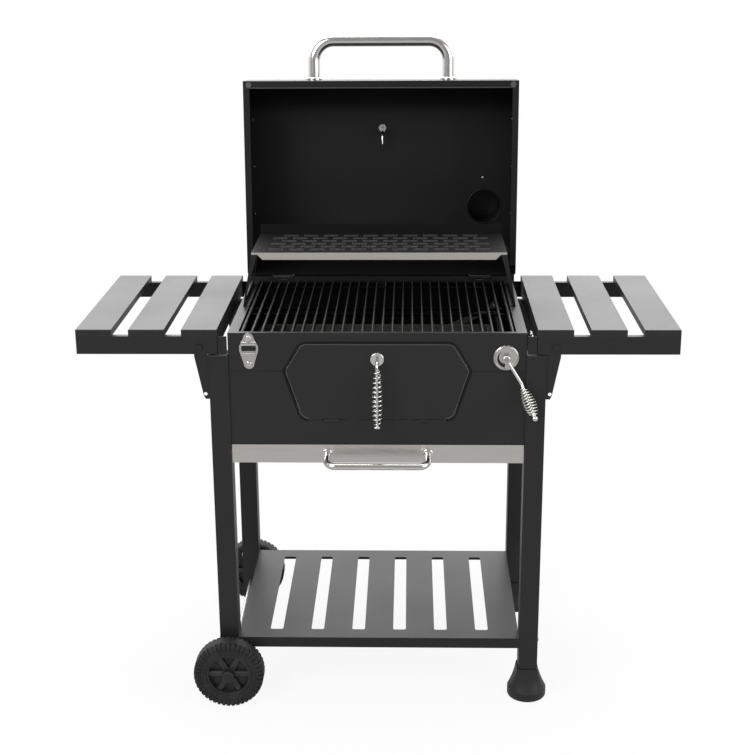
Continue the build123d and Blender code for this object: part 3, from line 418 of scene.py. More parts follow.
class Finish(Enum):
    """Finishes of this trolley."""

    POWDER = PowderCoat("black_powder_coat", (0.0105, 0.0105, 0.0105), 0.42, 0.34)
    # Pale coat whose colour paints the highlight lines on the door's edge and the lid's hem.
    EDGE_HIGHLIGHT = PowderCoat("edge_highlight_coat", (0.050, 0.050, 0.048), 0.32, 0.5, 0.00003)
    SLAT = PowderCoat("black_slat_coat", (0.0105, 0.0105, 0.0108), 0.40, 0.40)
    SHELF = PowderCoat("black_shelf_coat", (0.0105, 0.0105, 0.0106), 0.44, 0.27)
    LID_INSIDE = PowderCoat("black_lid_enamel", (0.0070, 0.0070, 0.0068), 0.40, 0.24)
    ENAMEL = PowderCoat("black_grate_enamel", (0.0022, 0.0022, 0.0021), 0.50, 0.10, 0.00010)
    # Pale enamel whose colour paints the highlight lines along the grate bars.
    GRATE_HIGHLIGHT = PowderCoat("grate_highlight_enamel", (0.090, 0.089, 0.083), 0.34, 0.5, 0.00004)
    RACK = PowderCoat("black_rack_enamel", (0.0048, 0.0048, 0.0046), 0.50, 0.14, 0.00010)
    # Pale enamel whose colour paints the highlights along the rack's slot edges.
    RACK_LIP_HIGHLIGHT = PowderCoat("rack_lip_highlight_enamel", (0.022, 0.022, 0.021), 0.36, 0.4, 0.00004)
    HEARTH = PowderCoat("ashy_enamel", (0.150, 0.146, 0.138), 0.70, 0.2, 0.00012)
    SHEET = BrushedSteel("stainless_sheet", (0.66, 0.64, 0.61), 0.30, (7.0, 900.0, 900.0))
    PRESSED = BrushedSteel("stainless_pressed", (0.62, 0.61, 0.59), 0.26, (900.0, 900.0, 14.0))
    TUBE = PolishedSteel("polished_steel", (0.70, 0.69, 0.67), 0.14)
    ZINC = PolishedSteel("zinc_steel", (0.46, 0.46, 0.46), 0.34)
    PLASTIC = Moulded("black_plastic", (0.012, 0.012, 0.0122), 0.50, 1600.0, 0.00008, 0.35)
    # Near-black matt band whose colour paints the shadow in the gap round the fire door.
    GAP_SHADOW = Moulded("door_gap_shadow", (0.0012, 0.0012, 0.0012), 0.90, 1400.0, 0.00020, 0.2)
    HUB = Moulded("black_hub_plastic", (0.0185, 0.0185, 0.0182), 0.40, 1600.0, 0.00006, 0.3)
    RUBBER = Moulded("black_rubber", (0.011, 0.011, 0.0108), 0.72, 900.0, 0.00014, 0.55)
    BUMPER = Moulded("grey_rubber", (0.060, 0.060, 0.057), 0.55, 900.0, 0.00008, 0.2)
    DIAL = DialFace("dial_card", 40, 0.75)

    @cache
    def material(self) -> bpy.types.Material:
        """The finish's material, built on first use."""
        return self.value.material()


def link(name: str, data: bpy.types.ID) -> Piece:
    """Adds an object with the given data to the scene."""
    made = bpy.data.objects.new(name, data)
    bpy.context.scene.collection.objects.link(made)
    return made


@dataclass
class Patch:
    """Grid of points that becomes quads; its last column joins the first.

    Attributes:
        points: array of rows by columns by three, in metres.
        wrap_rows: whether the last row joins the first; else flat faces close both of them.
        uv: one pair per point, or nothing.
    """

    points: Array
    wrap_rows: bool = False
    uv: Array | None = None

    def faces(self, start: int) -> list[list[int]]:
        """Corner numbers of all faces, turned so that the patch faces outwards.

        Args:
            start: number of the patch's first corner.

        Returns:
            The quads and, unless the rows wrap, a flat face for the first and the last row.
        """
        rows, columns = self.points.shape[:2]
        i = np.arange(rows if self.wrap_rows else rows - 1)[:, None]
        j = np.arange(columns)[None, :]
        here, after, beside = i * columns, (i + 1) % rows * columns, (j + 1) % columns
        ring = (here + j, here + beside, after + beside, after + j)
        quads = np.stack(np.broadcast_arrays(*ring), axis=-1).reshape(-1, 4)
        corners = self.points.reshape(-1, 3) - self.points.reshape(-1, 3).mean(axis=0)
        a, b, c, d = (corners[quads[:, k]] for k in range(4))
        faces = (quads + start).tolist()
        if not self.wrap_rows:
            first = np.arange(start, start + columns)
            faces += [first[::-1].tolist(), (first + (rows - 1) * columns).tolist()]
        outward = np.sum(np.cross(a, b) * c + np.cross(a, c) * d) >= 0
        return faces if outward else [face[::-1] for face in faces]


def joined(name: str, patches: list[Patch], sharp: float) -> bpy.types.Mesh:
    """Joins patches into one smooth mesh, with sharp edges above an angle in degrees."""
    faces: list[list[int]] = []
    start = 0
    for patch in patches:
        faces += patch.faces(start)
        start += patch.points[..., 0].size
    mesh = bpy.data.meshes.new(name)
    points = np.concatenate([patch.points.reshape(-1, 3) for patch in patches])
    mesh.from_pydata(points.tolist(), [], faces)
    if all(patch.uv is not None for patch in patches):
        unwrap(mesh, np.concatenate([patch.uv.reshape(-1, 2) for patch in patches]))
    mesh.polygons.foreach_set("use_smooth", np.ones(len(mesh.polygons), dtype=bool))
    mesh.set_sharp_from_angle(angle=math.radians(sharp))
    mesh.update()
    return mesh


def unwrap(mesh: bpy.types.Mesh, uv: Array) -> None:
    """Writes a UV map from one pair per point; a quad that spans the seam gets U past one.

    Args:
        mesh: the mesh, with its quads before its other faces.
        uv: one pair per point.
    """
    corners = np.empty(len(mesh.loops), dtype=np.int32)
    mesh.loops.foreach_get("vertex_index", corners)
    sides = np.empty(len(mesh.polygons), dtype=np.int32)
    mesh.polygons.foreach_get("loop_total", sides)
    pairs = uv[corners]
    quads = pairs[: 4 * int((sides == 4).sum())].reshape(-1, 4, 2)
    torn = np.ptp(quads[..., 0], axis=1) > 0.5
    quads[..., 0] += torn[:, None] * (quads[..., 0] < 0.5)
    layer = mesh.uv_layers.new(name="UVMap")
    layer.data.foreach_set("uv", pairs.astype(np.float32).ravel())


def unit(vectors: Array) -> Array:
    """Vectors made one long, along the last axis."""
    return vectors / np.linalg.norm(vectors, axis=-1, keepdims=True)


def around(axis: Array, angle: Array) -> Array:
    """Unit vectors square to an axis, at the given angles round it."""
    across = unit(np.cross(axis, X_AXIS if abs(axis[0]) < 0.9 else Y_AXIS))
    return np.cos(angle)[:, None] * across + np.sin(angle)[:, None] * np.cross(axis, across)


def turned(profile: Array, centre: Array, axis: Array, sides: int) -> Patch:
    """Turned form: each (radius, height) of the profile goes round the axis.

    The point is centre + axis * height + radius * (unit vector square to the axis).

    Args:
        profile: rows of radius and height in metres.
        centre: foot of the axis.
        axis: unit direction of the height.
        sides: points round the axis.

    Returns:
        The patch, capped at both ends.
    """
    ring = around(axis, np.linspace(0.0, 2 * np.pi, sides, endpoint=False))
    radius, height = profile.T[:, :, None, None]
    return Patch(centre + axis * height + radius * ring)


def tube(path: Array, radius: float, sides: int) -> Patch:
    """Round tube along a path: a circle of the given radius, square to the path at each point.

    The circle's first direction is the part of the path's bending that is square to it.

    Args:
        path: points along the middle.
        radius: tube radius.
        sides: points round the tube.

    Returns:
        The patch, capped at both ends.
    """
    along = unit(np.gradient(path, axis=0))
    first = np.gradient(along, axis=0)
    first -= np.einsum("ij,ij->i", first, along)[:, None] * along
    first /= np.linalg.norm(first, axis=1)[:, None] + 1e-12
    second = np.cross(along, first)
    cos, sin = circle(1.0, sides).T[:, None, :, None]
    return Patch(path[:, None] + radius * (first[:, None] * cos + second[:, None] * sin))


def slab(outline: Array, origin: Array, right: Array, up: Array, thick: float) -> Patch:
    """Flat plate: a closed outline carried along the normal of its plane.

    Args:
        outline: rows of right and up in metres.
        origin: where the outline's zero lies.
        right: unit direction of the first value.
        up: unit direction of the second value.
        thick: thickness along right x up.

    Returns:
        The patch, capped at both faces.
    """
    flat = origin + outline[:, :1] * right + outline[:, 1:] * up
    return Patch(np.stack([flat, flat + np.cross(right, up) * thick]))


def coats(**groups: str) -> dict[str, Finish]:
    """Finish of each node, from the nodes that are listed under each finish's name."""
    return {node: Finish[name] for name, nodes in groups.items() for node in nodes.split()}


class Assembly:
    """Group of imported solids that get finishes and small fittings.

    Attributes:
        finishes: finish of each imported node.
    """

    finishes: ClassVar[dict[str, Finish]] = {}

    def dress(self, nodes: dict[str, Piece]) -> None:
        """Puts each node's finish on its object.

        Args:
            nodes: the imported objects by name.
        """
        for name, finish in self.finishes.items():
            holder = nodes[name]
            material = finish.material()
            if not holder.material_slots:
                holder.data.materials.append(material)
            for slot in holder.material_slots:
                slot.material = material

    def build(self) -> list[Piece]:
        """Makes the fittings that this group adds, if any."""
        return []

    @staticmethod
    def fit(
        name: str, patches: list[Patch], finish: Finish, body: str, slot: str, sharp: float = PLATE
    ) -> Piece:
        """Makes a piece at the origin that rides on a body.

        Args:
            name: name of the piece.
            patches: the grids of points.
            finish: the piece's finish.
            body: the body that it moves with.
            slot: name of a material slot; not used.
            sharp: angle in degrees above which an edge stays sharp.

        Returns:
            The piece.
        """
        mesh = joined(name, patches, sharp)
        mesh.materials.append(finish.material())
        piece = link(name, mesh)
        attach(piece, body)
        return piece


def seat(x: float, y: float, z: float) -> Array:
    """Place given in millimetres from the front faces of the legs, as metres in the frame."""
    return np.array([x / 1000, y / 1000 - DEPTH_MIDDLE, z / 1000])


def circle(radius: float, sides: int) -> Array:
    """Points of a circle, as rows of its two directions."""
    angle = np.linspace(0.0, 2 * np.pi, sides, endpoint=False)
    return radius * np.stack([np.cos(angle), np.sin(angle)], axis=1)


def bead(centre: Array, axis: Array, radius: float, thick: float) -> Patch:
    """Round bead: a circle of radius thick carried round a circle of the given radius."""
    profile = circle(thick, SECTION_SIDES) + [radius, 0.0]
    return Patch(turned(profile, centre, axis, BEAD_SIDES).points, wrap_rows=True)


def half_round(start: Array, end: Array, up: Array, width: float, height: float) -> Patch:
    """Low ridge from start to end: half an ellipse of the given size, standing along up."""
    way = end - start
    length = float(np.linalg.norm(way))
    angle = np.linspace(0.0, np.pi, ARC_POINTS)
    outline = np.stack([width / 2 * np.cos(angle), height * np.sin(angle)], axis=1)
    return slab(outline, start, np.cross(up, way / length), up, length)


@dataclass(frozen=True)
class WoundGrip:
    """Wire wound round a rod, wider in the middle than at its ends.

    Attributes:
        origin: where the first turn starts, in metres.
        along: unit direction of the rod.
        length: length of the winding.
        turns: number of turns.
        ends: winding radius at the ends.
        bulge: how much wider it is in the middle.
        skew: moves the widest place along the rod.
        blunt: rounds the bulge the more, the smaller it is.
        wire: wire radius.
        steps: points along each turn.
    """

    origin: Array
    along: Array
    length: float
    turns: int
    ends: float
    bulge: float
    skew: float
    blunt: float = 0.7
    wire: float = 0.0013
    steps: int = 44

    def patch(self) -> Patch:
        """Helix whose radius is ends + bulge * sin(pi * share**skew)**blunt, swept by the wire."""
        share = np.linspace(0.0, 1.0, self.turns * self.steps + 1)
        swell = np.clip(np.sin(np.pi * share**self.skew), 0.0, 1.0) ** self.blunt
        radius = self.ends + self.bulge * swell
        angle = 2 * np.pi * self.turns * share
        ring = around(self.along, angle) * radius[:, None]
        path = self.origin + self.along * (self.length * share)[:, None] + ring
        return tube(path, self.wire, WIRE_SIDES)


@dataclass
class Trolley(Assembly):
    """Legs, feet, wheels, axle, bottom shelf and the bolts of the frame.

    Attributes:
        lugs: tread lugs round each edge of a tyre.
        stagger: turn of one edge's lugs against the tyre's middle, in lugs.
        lug_width: width of a lug along the tread.
        lug_rise: how far a lug stands out of the shoulder.
        lug_start: angle at which a lug starts on the tread, in radians.
        shoulder: radius of the tyre's rounded shoulder.
        sunk: how far a lug's inner face lies under the shoulder.
        tail: how far a lug runs down the tyre's side.
        side_rise: how far a lug stands out of the side, at most and at its tail.
        ring: radius of the raised ring round the hub, and its thickness.
    """

    lugs: int = 44
    stagger: float = 0.25
    lug_width: float = 0.0058
    lug_rise: float = 0.0021
    lug_start: float = 0.10
    shoulder: float = 0.01064
    sunk: float = 0.0006
    tail: float = 0.004
    side_rise: Pair = (0.0016, 0.0012)
    ring: Pair = (0.0462, 0.0013)
    finishes = coats(
        POWDER="leg_front_left leg_front_right leg_rear_left leg_rear_right",
        PLASTIC="foot_front_right foot_rear_right leg_plugs axle_caps",
        RUBBER="wheel_front_tyre wheel_rear_tyre",
        HUB="wheel_front_hub wheel_rear_hub",
        SHELF="bottom_shelf",
        ZINC="axle frame_bolts",
    )

    def lug_outline(self, radius: float, half: float) -> Array:
        """Section of a lug: along the shoulder just under its face and back above it.

        Args:
            radius: outer radius of the tyre.
            half: half the tyre's width.

        Returns:
            Rows of distance from the axle and from the tyre's middle plane.
        """
        angle = np.linspace(self.lug_start, np.pi / 2, LUG_POINTS)
        middle = np.array([radius, half]) - self.shoulder
        way = np.stack([np.sin(angle), np.cos(angle)], axis=1)[::-1]
        inner = middle + way * (self.shoulder - self.sunk)
        most, least = self.side_rise
        outer = np.minimum(middle + way * (self.shoulder + self.lug_rise), [radius, half + most])
        foot = middle[0] - self.tail
        tail = np.array([[foot, half + least], [foot, half - self.sunk]])
        return np.concatenate([outer, tail, inner[::-1]])

    def tread(self, end: str) -> list[Piece]:
        """Lugs over both shoulders of one tyre, and the raised ring round its hub."""
        low, high = np.array(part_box(f"wheel_{end}_tyre"))
        centre = (low + high) / 2
        _, half, radius = (high - low) / 2
        outline = self.lug_outline(radius, half)
        lugs, rings = [], []
        for side in (-1.0, 1.0):
            axial = side * Y_AXIS
            rings.append(bead(centre + axial * half, axial, *self.ring))
            for turn in (np.arange(self.lugs) + self.stagger * side) * (2 * np.pi / self.lugs):
                radial = np.array([np.cos(turn), 0.0, np.sin(turn)])
                start = centre - np.cross(radial, axial) * self.lug_width / 2
                lugs.append(slab(outline, start, radial, axial, self.lug_width))
        body = f"wheel_{end}"
        return [
            self.fit(f"{body}_lugs", lugs, Finish.RUBBER, body, "tyre"),
            self.fit(f"{body}_ring", rings, Finish.RUBBER, body, "tyre", ROUND),
        ]

    def build(self) -> list[Piece]:
        """Makes the tread of both tyres."""
        return [*self.tread("front"), *self.tread("rear")]


@dataclass
class Firebox(Assembly):
    """Box walls, ledges, runners, grates, charcoal tray, ash drawer and bottle opener.

    Attributes:
        bars: bars in each grate.
        pitch: distance between their middles.
        ridge: width and height of the ridge along a bar, whose pale enamel paints a highlight line.
        strip: section of the closing strip behind the box, rows of Y and Z in millimetres.
        strip_runs: first and last X of each length of the strip, clear of the hinges.
        bridge: half length, height above the ground and depth in the plate of the opener's bridge.
        bridge_section: its width and how far it stands out.
    """

    bars: int = 14
    pitch: float = 0.0192
    ridge: Pair = (0.0016, 0.0006)
    strip: tuple[Pair, ...] = ((422.0, 768.0), (423.2, 768.0), (425.1, 789.2), (424.0, 789.2))
    strip_runs: tuple[Pair, ...] = ((-285.0, -238.5), (-191.5, 191.5), (238.5, 285.0))
    bridge: Triple = (0.0140, 0.7590, 0.002)
    bridge_section: Pair = (0.0085, 0.0034)
    finishes = coats(
        POWDER="firebox_front firebox_left_wall firebox_right_wall firebox_back"
        " ash_runners grate_ledges tray_guides firebox_hinge_leaves ash_drawer_tray",
        HEARTH="charcoal_tray",
        ENAMEL="grate_left grate_right",
        PRESSED="bottle_opener",
        SHEET="ash_drawer_front",
        TUBE="opener_rivets drawer_handle",
    )

    def ridges(self) -> Piece:
        """Ridge along the top of every long bar of both grates; its pale enamel paints a highlight
        line.
        """
        low, high = np.array(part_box("grate_right"))
        places = [side * self.pitch * (bar + 0.5) for side in (-1, 1) for bar in range(self.bars)]
        ends = [[np.array([x, y, high[2]]) for y in (low[1], high[1])] for x in places]
        runs = [half_round(start, end, Z_AXIS, *self.ridge) for start, end in ends]
        return self.fit("grate_ridges", runs, Finish.GRATE_HIGHLIGHT, "trolley", "black_enamel", ROUND)

    def closing_strip(self) -> Piece:
        """Strip behind the box that closes the slit under the lid, in lengths between the hinges."""
        section = np.array(self.strip) / 1000
        lengths = [
            slab(section, seat(first, 0.0, 0.0), Y_AXIS, Z_AXIS, (last - first) / 1000)
            for first, last in self.strip_runs
        ]
        return self.fit("box_closing_strip", lengths, Finish.POWDER, "trolley", "black_powder_coat")

    def opener_bridge(self) -> Piece:
        """Rounded bridge across the opener, above its mouth."""
        low, high = np.array(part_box("bottle_opener"))
        half, height, depth = self.bridge
        middle = np.array([(low[0] + high[0]) / 2, high[1] - depth, height])
        reach = half * X_AXIS
        ridge = half_round(middle - reach, middle + reach, -Y_AXIS, *self.bridge_section)
        return self.fit("opener_bridge", [ridge], Finish.TUBE, "trolley", "stainless", ROUND)

    def build(self) -> list[Piece]:
        """Makes the grates' ridges, the closing strip and the opener's bridge."""
        return [self.ridges(), self.closing_strip(), self.opener_bridge()]


@dataclass
class FireDoor(Assembly):
    """Fire door with its handle, the wire wound round it, and painted shadow round its opening.

    Attributes:
        grip: the winding.
        corners: X and Z of the right half's corners before rounding, from the lowest up.
        rounds: radius of each of them.
        face: Y of the panel's front face.
        gap_shadow: section of the band of painted shadow, rows of distance outwards and to the front.
        edge: distance inwards and radius of the bead along the door's edge, whose pale coat paints a
            highlight.
    """

    grip: WoundGrip = WoundGrip(
        seat(0.0, -27.0, 604.6),
        Z_AXIS,
        length=0.1111,
        turns=12,
        ends=0.0046,
        bulge=0.0061,
        skew=0.8,
    )
    corners: tuple[Pair, ...] = ((145.0, 607.0), (177.0, 704.0), (145.0, 758.0))
    rounds: Triple = (18.0, 8.0, 18.0)
    face: float = 3.0
    gap_shadow: tuple[Pair, ...] = ((5.4, -0.05), (1.8, -0.05), (1.8, 0.3), (3.6, 0.5), (5.4, 0.3))
    edge: Pair = (1.1, 0.9)
    finishes = coats(POWDER="fire_door", TUBE="door_handle")

    def outline(self, grow: float) -> Array:
        """Outline without its lower edge: an arc at each corner, whose radius is changed by grow.

        An arc's centre lies on the line that halves the corner, radius / sin(half angle) from it.

        Args:
            grow: distance outwards in millimetres.

        Returns:
            Rows of X and Z in millimetres.
        """
        right = np.array(self.corners)
        corners = np.concatenate([right, right[::-1] * [-1.0, 1.0]])
        rounds = np.concatenate([self.rounds, self.rounds[::-1]])
        before, after = (unit(np.roll(corners, step, axis=0) - corners) for step in (1, -1))
        half = np.arccos(np.sum(before * after, axis=1)) / 2
        centre = corners + unit(before + after) * (rounds / np.sin(half))[:, None]
        first = np.arctan2(before[:, 0], -before[:, 1])
        turn = (np.arctan2(-after[:, 0], after[:, 1]) - first) % (2 * np.pi)
        angle = first[:, None] + turn[:, None] * np.linspace(0.0, 1.0, ARC_POINTS)
        way = np.stack([np.cos(angle), np.sin(angle)], axis=-1)
        return (centre[:, None] + (rounds + grow)[:, None, None] * way).reshape(-1, 2)

    def band(self, section: Array) -> Patch:
        """Strip along the outline, from a section's rows of distance outwards and to the front."""
        loops = np.stack([self.outline(grow) for grow in section[:, 0]], axis=1)
        front = np.broadcast_to(self.face - section[:, 1], loops.shape[:2])
        places = np.stack([loops[..., 0], front, loops[..., 1]], axis=-1)
        return Patch(places / 1000 - DEPTH_MIDDLE * Y_AXIS)

    def build(self) -> list[Piece]:
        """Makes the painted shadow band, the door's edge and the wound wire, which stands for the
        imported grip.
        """
        inset, thick = self.edge
        edge = self.band(circle(thick, EDGE_SIDES) * [1.0, -1.0] - [inset, 0.0])
        # Near-black band round the opening that paints the shadow in the door's gap.
        gap_shadow = self.band(np.array(self.gap_shadow))
        winding = [self.grip.patch()]
        wire = self.fit("door_grip_wire", winding, Finish.TUBE, "fire_door", "polished_steel", ROUND)
        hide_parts("door_grip")
        return [
            wire,
            self.fit("door_edge_bead", [edge], Finish.EDGE_HIGHLIGHT, "fire_door", "black_powder_coat", ROUND),
            self.fit("door_gap_shadow_band", [gap_shadow], Finish.GAP_SHADOW, "trolley", "rubber"),
        ]


@dataclass
class Crank(Assembly):
    """Crank with its plate, wound grip and lift arms.

    Attributes:
        centre: X and Z of the plate's middle, in metres.
        rim: radius of the plate's raised rim, and its thickness.
        knee: where the arm bends, in millimetres.
        lean: direction of its bent end.
        bare: length from the knee to the winding.
        sweep: first and last angle of the turning mark, in degrees.
        mark: middle radius of the mark.
        widths: half width of the mark at its tip, and how much it grows.
        ink: thickness of the mark.
    """

    centre: Pair = (0.246, 0.731)
    rim: Pair = (0.0222, 0.0014)
    knee: Triple = (275.0, -10.3, 684.0)
    lean: Triple = (0.34, -0.45, -0.82)
    bare: float = 0.010
    sweep: Pair = (128.0, 262.0)
    mark: float = 0.0152
    widths: Pair = (0.0004, 0.0036)
    ink: float = 0.00025
    finishes = coats(
        PRESSED="crank_plate",
        ZINC="crank_shaft lift_arms",
        TUBE="crank_arm",
    )

    def grip(self) -> WoundGrip:
        """Winding along the bent end of the arm."""
        along = unit(np.array(self.lean))
        start = seat(*self.knee) + along * self.bare
        return WoundGrip(
            start, along, length=0.0551, turns=10, ends=0.0051, bulge=0.0076, skew=1.25
        )

    def turning_mark(self, origin: Array) -> Patch:
        """Curved wedge: an arc about the shaft whose half width grows with the angle."""
        share = np.linspace(0.0, 1.0, MARK_POINTS)
        angle = np.radians(self.sweep[0] + (self.sweep[1] - self.sweep[0]) * share)
        half = self.widths[0] + self.widths[1] * share
        radius = np.concatenate([self.mark + half, (self.mark - half)[::-1]])
        around = np.concatenate([angle, angle[::-1]])
        outline = np.stack([radius * np.cos(around), radius * np.sin(around)], axis=1)
        return slab(outline, origin, X_AXIS, Z_AXIS, self.ink)

    def build(self) -> list[Piece]:
        """Makes the winding, the plate's rim and the turning mark."""
        middle = np.array([self.centre[0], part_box("crank_plate")[0][1], self.centre[1]])
        rim, mark = bead(middle, -Y_AXIS, *self.rim), self.turning_mark(middle)
        winding = [self.grip().patch()]
        wire = self.fit("crank_grip_wire", winding, Finish.TUBE, "crank", "polished_steel", ROUND)
        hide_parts("crank_grip")
        return [
            wire,
            self.fit("crank_plate_rim", [rim], Finish.PRESSED, "trolley", "stainless"),
            self.fit("crank_turning_mark", [mark], Finish.POWDER, "trolley", "black_powder_coat"),
        ]


@dataclass
class Lid(Assembly):
    """Open lid with its handle, thermometer, chimney and rivets.

    Places are given for the closed lid, in millimetres, and swung open about the hinge line.

    Attributes:
        hinge: Y and Z of the hinge line.
        swing: angle by which the lid stands open, in degrees.
        roof: height of the closed lid's outer roof.
        sheet: thickness of the lid's sheet.
        half: half the clear width between the end plates.
        dial: place of the thermometer along Y, its case height and its card's radius.
        card: thickness of the card, in metres.
        needle: half the needle's outline, rows along and across it as shares of its length.
        needle_place: the needle's length as a share of the card's radius, its lift and thickness.
        needle_way: its direction on the card.
        needle_hub: profile of its hub, rows of radius and height.
        bezel: distance of the bezel from the card, and its thickness, in metres.
        head: profile of a rivet's head, rows of radius and height.
        rivet_rows: places along Y of the rivets in each end plate.
        rivet_drop: how far these rivets lie under the roof.
        screw: X and Y of the screw through the roof, and its size against a rivet.
        flue: X and Y of the chimney, and its collar's radius and thickness in metres.
        hem: Y and Z of the hem's line and half its length.
        hem_section: width and height of that line, in metres.
        probe_reach: how far the probe stands out of the roof and bends to the rear, in metres.
        probe_radius: radius of the probe, in metres.
        lock: profile of the nut on the probe, rows of radius and height.
        lock_point: number of the probe's point at which the nut sits.
        rib: Y and Z of the rear rib's foot, its reach and its thickness.
        rib_runs: first and last X of each length of the rib, and its distance from the lid there.
    """

    hinge: Pair = (428.0, 786.0)
    swing: float = 94.0
    roof: float = 970.0
    sheet: float = 1.5
    half: float = 290.5
    dial: Triple = (118.0, 13.0, 25.0)
    card: float = 0.0003
    needle: tuple[Pair, ...] = ((-0.12, -0.05), (0.0, -0.06), (1.0, -0.008))
    needle_place: Triple = (0.78, 0.0008, 0.0004)
    needle_way: Pair = (0.6, 0.8)
    needle_hub: tuple[Pair, ...] = ((3.0, 0.2), (3.0, 1.4), (2.2, 1.8))
    bezel: Pair = (0.0012, 0.0013)
    head: tuple[Pair, ...] = ((2.6, -0.2), (2.6, 0.3), (2.3, 0.8), (1.5, 1.2), (0.6, 1.35))
    rivet_rows: Triple = (98.0, 203.0, 310.0)
    rivet_drop: float = 16.0
    screw: Triple = (227.5, 229.8, 1.3)
    flue: tuple[float, ...] = (231.0, 295.0, 0.0382, 0.0014)
    hem: Triple = (22.6, 782.0, 284.0)
    hem_section: Pair = (0.0017, 0.0007)
    probe_reach: Pair = (0.026, 0.034)
    probe_radius: float = 0.0021
    lock: tuple[Pair, ...] = ((4.2, -2.6), (5.0, -1.9), (5.0, 1.9), (4.2, 2.6))
    lock_point: int = 14
    rib: tuple[float, ...] = (421.5, 796.0, 18.0, 1.2)
    rib_runs: tuple[Triple, ...] = (
        (-290.0, -238.5, 0.0),
        (-238.5, -191.5, 2.8),
        (-191.5, 191.5, 0.0),
        (191.5, 238.5, 2.8),
        (238.5, 290.0, 0.0),
    )
    finishes = coats(
        LID_INSIDE="lid_wrap lid_left_end lid_right_end",
        POWDER="lid_hinge_leaves chimney_pipe chimney_cap",
        TUBE="lid_handle thermometer_nut",
        ZINC="lid_handle_bolts",
        BUMPER="lid_bumpers",
        PRESSED="thermometer",
    )

    def way(self, x: float, y: float, z: float) -> Array:
        """Direction on the closed lid, turned as the lid is."""
        turn = math.radians(-self.swing)
        cos, sin = math.cos(turn), math.sin(turn)
        return np.array([x, y * cos - z * sin, y * sin + z * cos])

    def spot(self, x: float, y: float, z: float) -> Array:
        """Place on the closed lid in millimetres, swung open, in metres in the frame."""
        moved = self.way(x, y - self.hinge[0], z - self.hinge[1])
        return seat(moved[0], moved[1] + self.hinge[0], moved[2] + self.hinge[1])

    def rivets(self) -> Piece:
        """Domed heads: a low profile turned about the axis of each rivet and of the screw."""
        head = np.array(self.head) / 1000
        under = self.roof - self.sheet
        heads = [
            turned(
                head,
                self.spot(-side * self.half, y, under - self.rivet_drop),
                self.way(side, 0, 0),
                RIVET_SIDES,
            )
            for side in (-1, 1)
            for y in self.rivet_rows
        ]
        x, y, size = self.screw
        heads.append(turned(head * size, self.spot(x, y, under), self.way(0, 0, -1), RIVET_SIDES))
        return self.fit("lid_rivets", heads, Finish.ZINC, "lid", "plain_steel")

    def thermometer_card(self) -> list[Piece]:
        """Dial card with its UV map, bezel bead and needle on the thermometer's outer face."""
        y, case, radius = self.dial
        radius /= 1000
        centre, out = self.spot(0.0, y, self.roof + case), self.way(0, 0, 1)
        shares = np.array([1.0, 1.0, 0.5, 0.02])
        heights = np.array([0.0, self.card, self.card, self.card])
        card = turned(np.stack([radius * shares, heights], axis=1), centre, out, DIAL_SIDES)
        turn = np.linspace(0.0, 1.0, DIAL_SIDES, endpoint=False)
        card.uv = np.stack(np.broadcast_arrays(turn[None, :], shares[:, None]), axis=-1)
        right, up = self.way(-1, 0, 0), self.way(0, 1, 0)
        length, lift, thick = self.needle_place
        edge = np.array(self.needle)
        arrow = np.concatenate([edge, edge[::-1] * [1.0, -1.0]]) * (radius * length)
        cos, sin = self.needle_way
        ahead, aside = right * cos + up * sin, up * cos - right * sin
        needle = slab(arrow, centre + out * lift, ahead, aside, thick)
        hub = turned(np.array(self.needle_hub) / 1000, centre, out, HUB_SIDES)
        rim = bead(centre, out, radius + self.bezel[0], self.bezel[1])
        return [
            self.fit("thermometer_card", [card], Finish.DIAL, "lid", "stainless"),
            self.fit("thermometer_bezel", [rim], Finish.TUBE, "lid", "stainless", ROUND),
            self.fit("thermometer_needle", [needle, hub], Finish.PLASTIC, "lid", "black_plastic"),
        ]

    def chimney_collar(self) -> Piece:
        """Rolled collar round the chimney's hole, inside the lid."""
        x, y, *ring = self.flue
        collar = bead(self.spot(x, y, self.roof - self.sheet), self.way(0, 0, -1), *ring)
        return self.fit(
            "chimney_collar", [collar], Finish.LID_INSIDE, "lid", "black_powder_coat", ROUND
        )

    def rear_rib(self) -> Piece:
        """Stiffening rib across the back of the lid, which steps out over the hinges."""
        y, z, reach, thick = self.rib
        lengths = []
        for first, last, lift in self.rib_runs:
            outline = np.array([[lift, 0.0], [reach, 0.0], [reach, thick], [lift, thick]]) / 1000
            start, width = self.spot(first, y, z), (last - first) / 1000
            lengths.append(slab(outline, start, self.way(0, 1, 0), self.way(0, 0, 1), width))
        return self.fit("lid_rear_rib", lengths, Finish.LID_INSIDE, "lid", "black_powder_coat")

    def probe(self) -> Piece:
        """Thermometer's probe: a rod that bends from the nut to the rear, with a lock nut on it."""
        _, y, z = np.mean(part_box("thermometer_nut"), axis=0)
        share = np.linspace(0.0, 1.0, PROBE_POINTS)[:, None]
        out = self.way(0, 0, -1) * self.probe_reach[0] * (1 - (1 - share) ** 2)
        rear = self.way(0, 1, 0) * self.probe_reach[1] * share**2
        bend = np.array([0.0, y, z]) + out + rear
        rod = tube(bend, self.probe_radius, PROBE_SIDES)
        here, ahead = bend[self.lock_point : self.lock_point + 2]
        lock = turned(np.array(self.lock) / 1000, here, unit(ahead - here), NUT_SIDES)
        return self.fit("thermometer_probe", [rod, lock], Finish.TUBE, "lid", "polished_steel")

    def hem_line(self) -> Piece:
        """Fine ridge along the inner edge of the front hem; its pale coat paints a highlight line."""
        y, z, reach = self.hem
        start, end = self.spot(-reach, y, z), self.spot(reach, y, z)
        ridge = half_round(start, end, self.way(0, 0, -1), *self.hem_section)
        return self.fit("lid_hem_line", [ridge], Finish.EDGE_HIGHLIGHT, "lid", "black_powder_coat", ROUND)

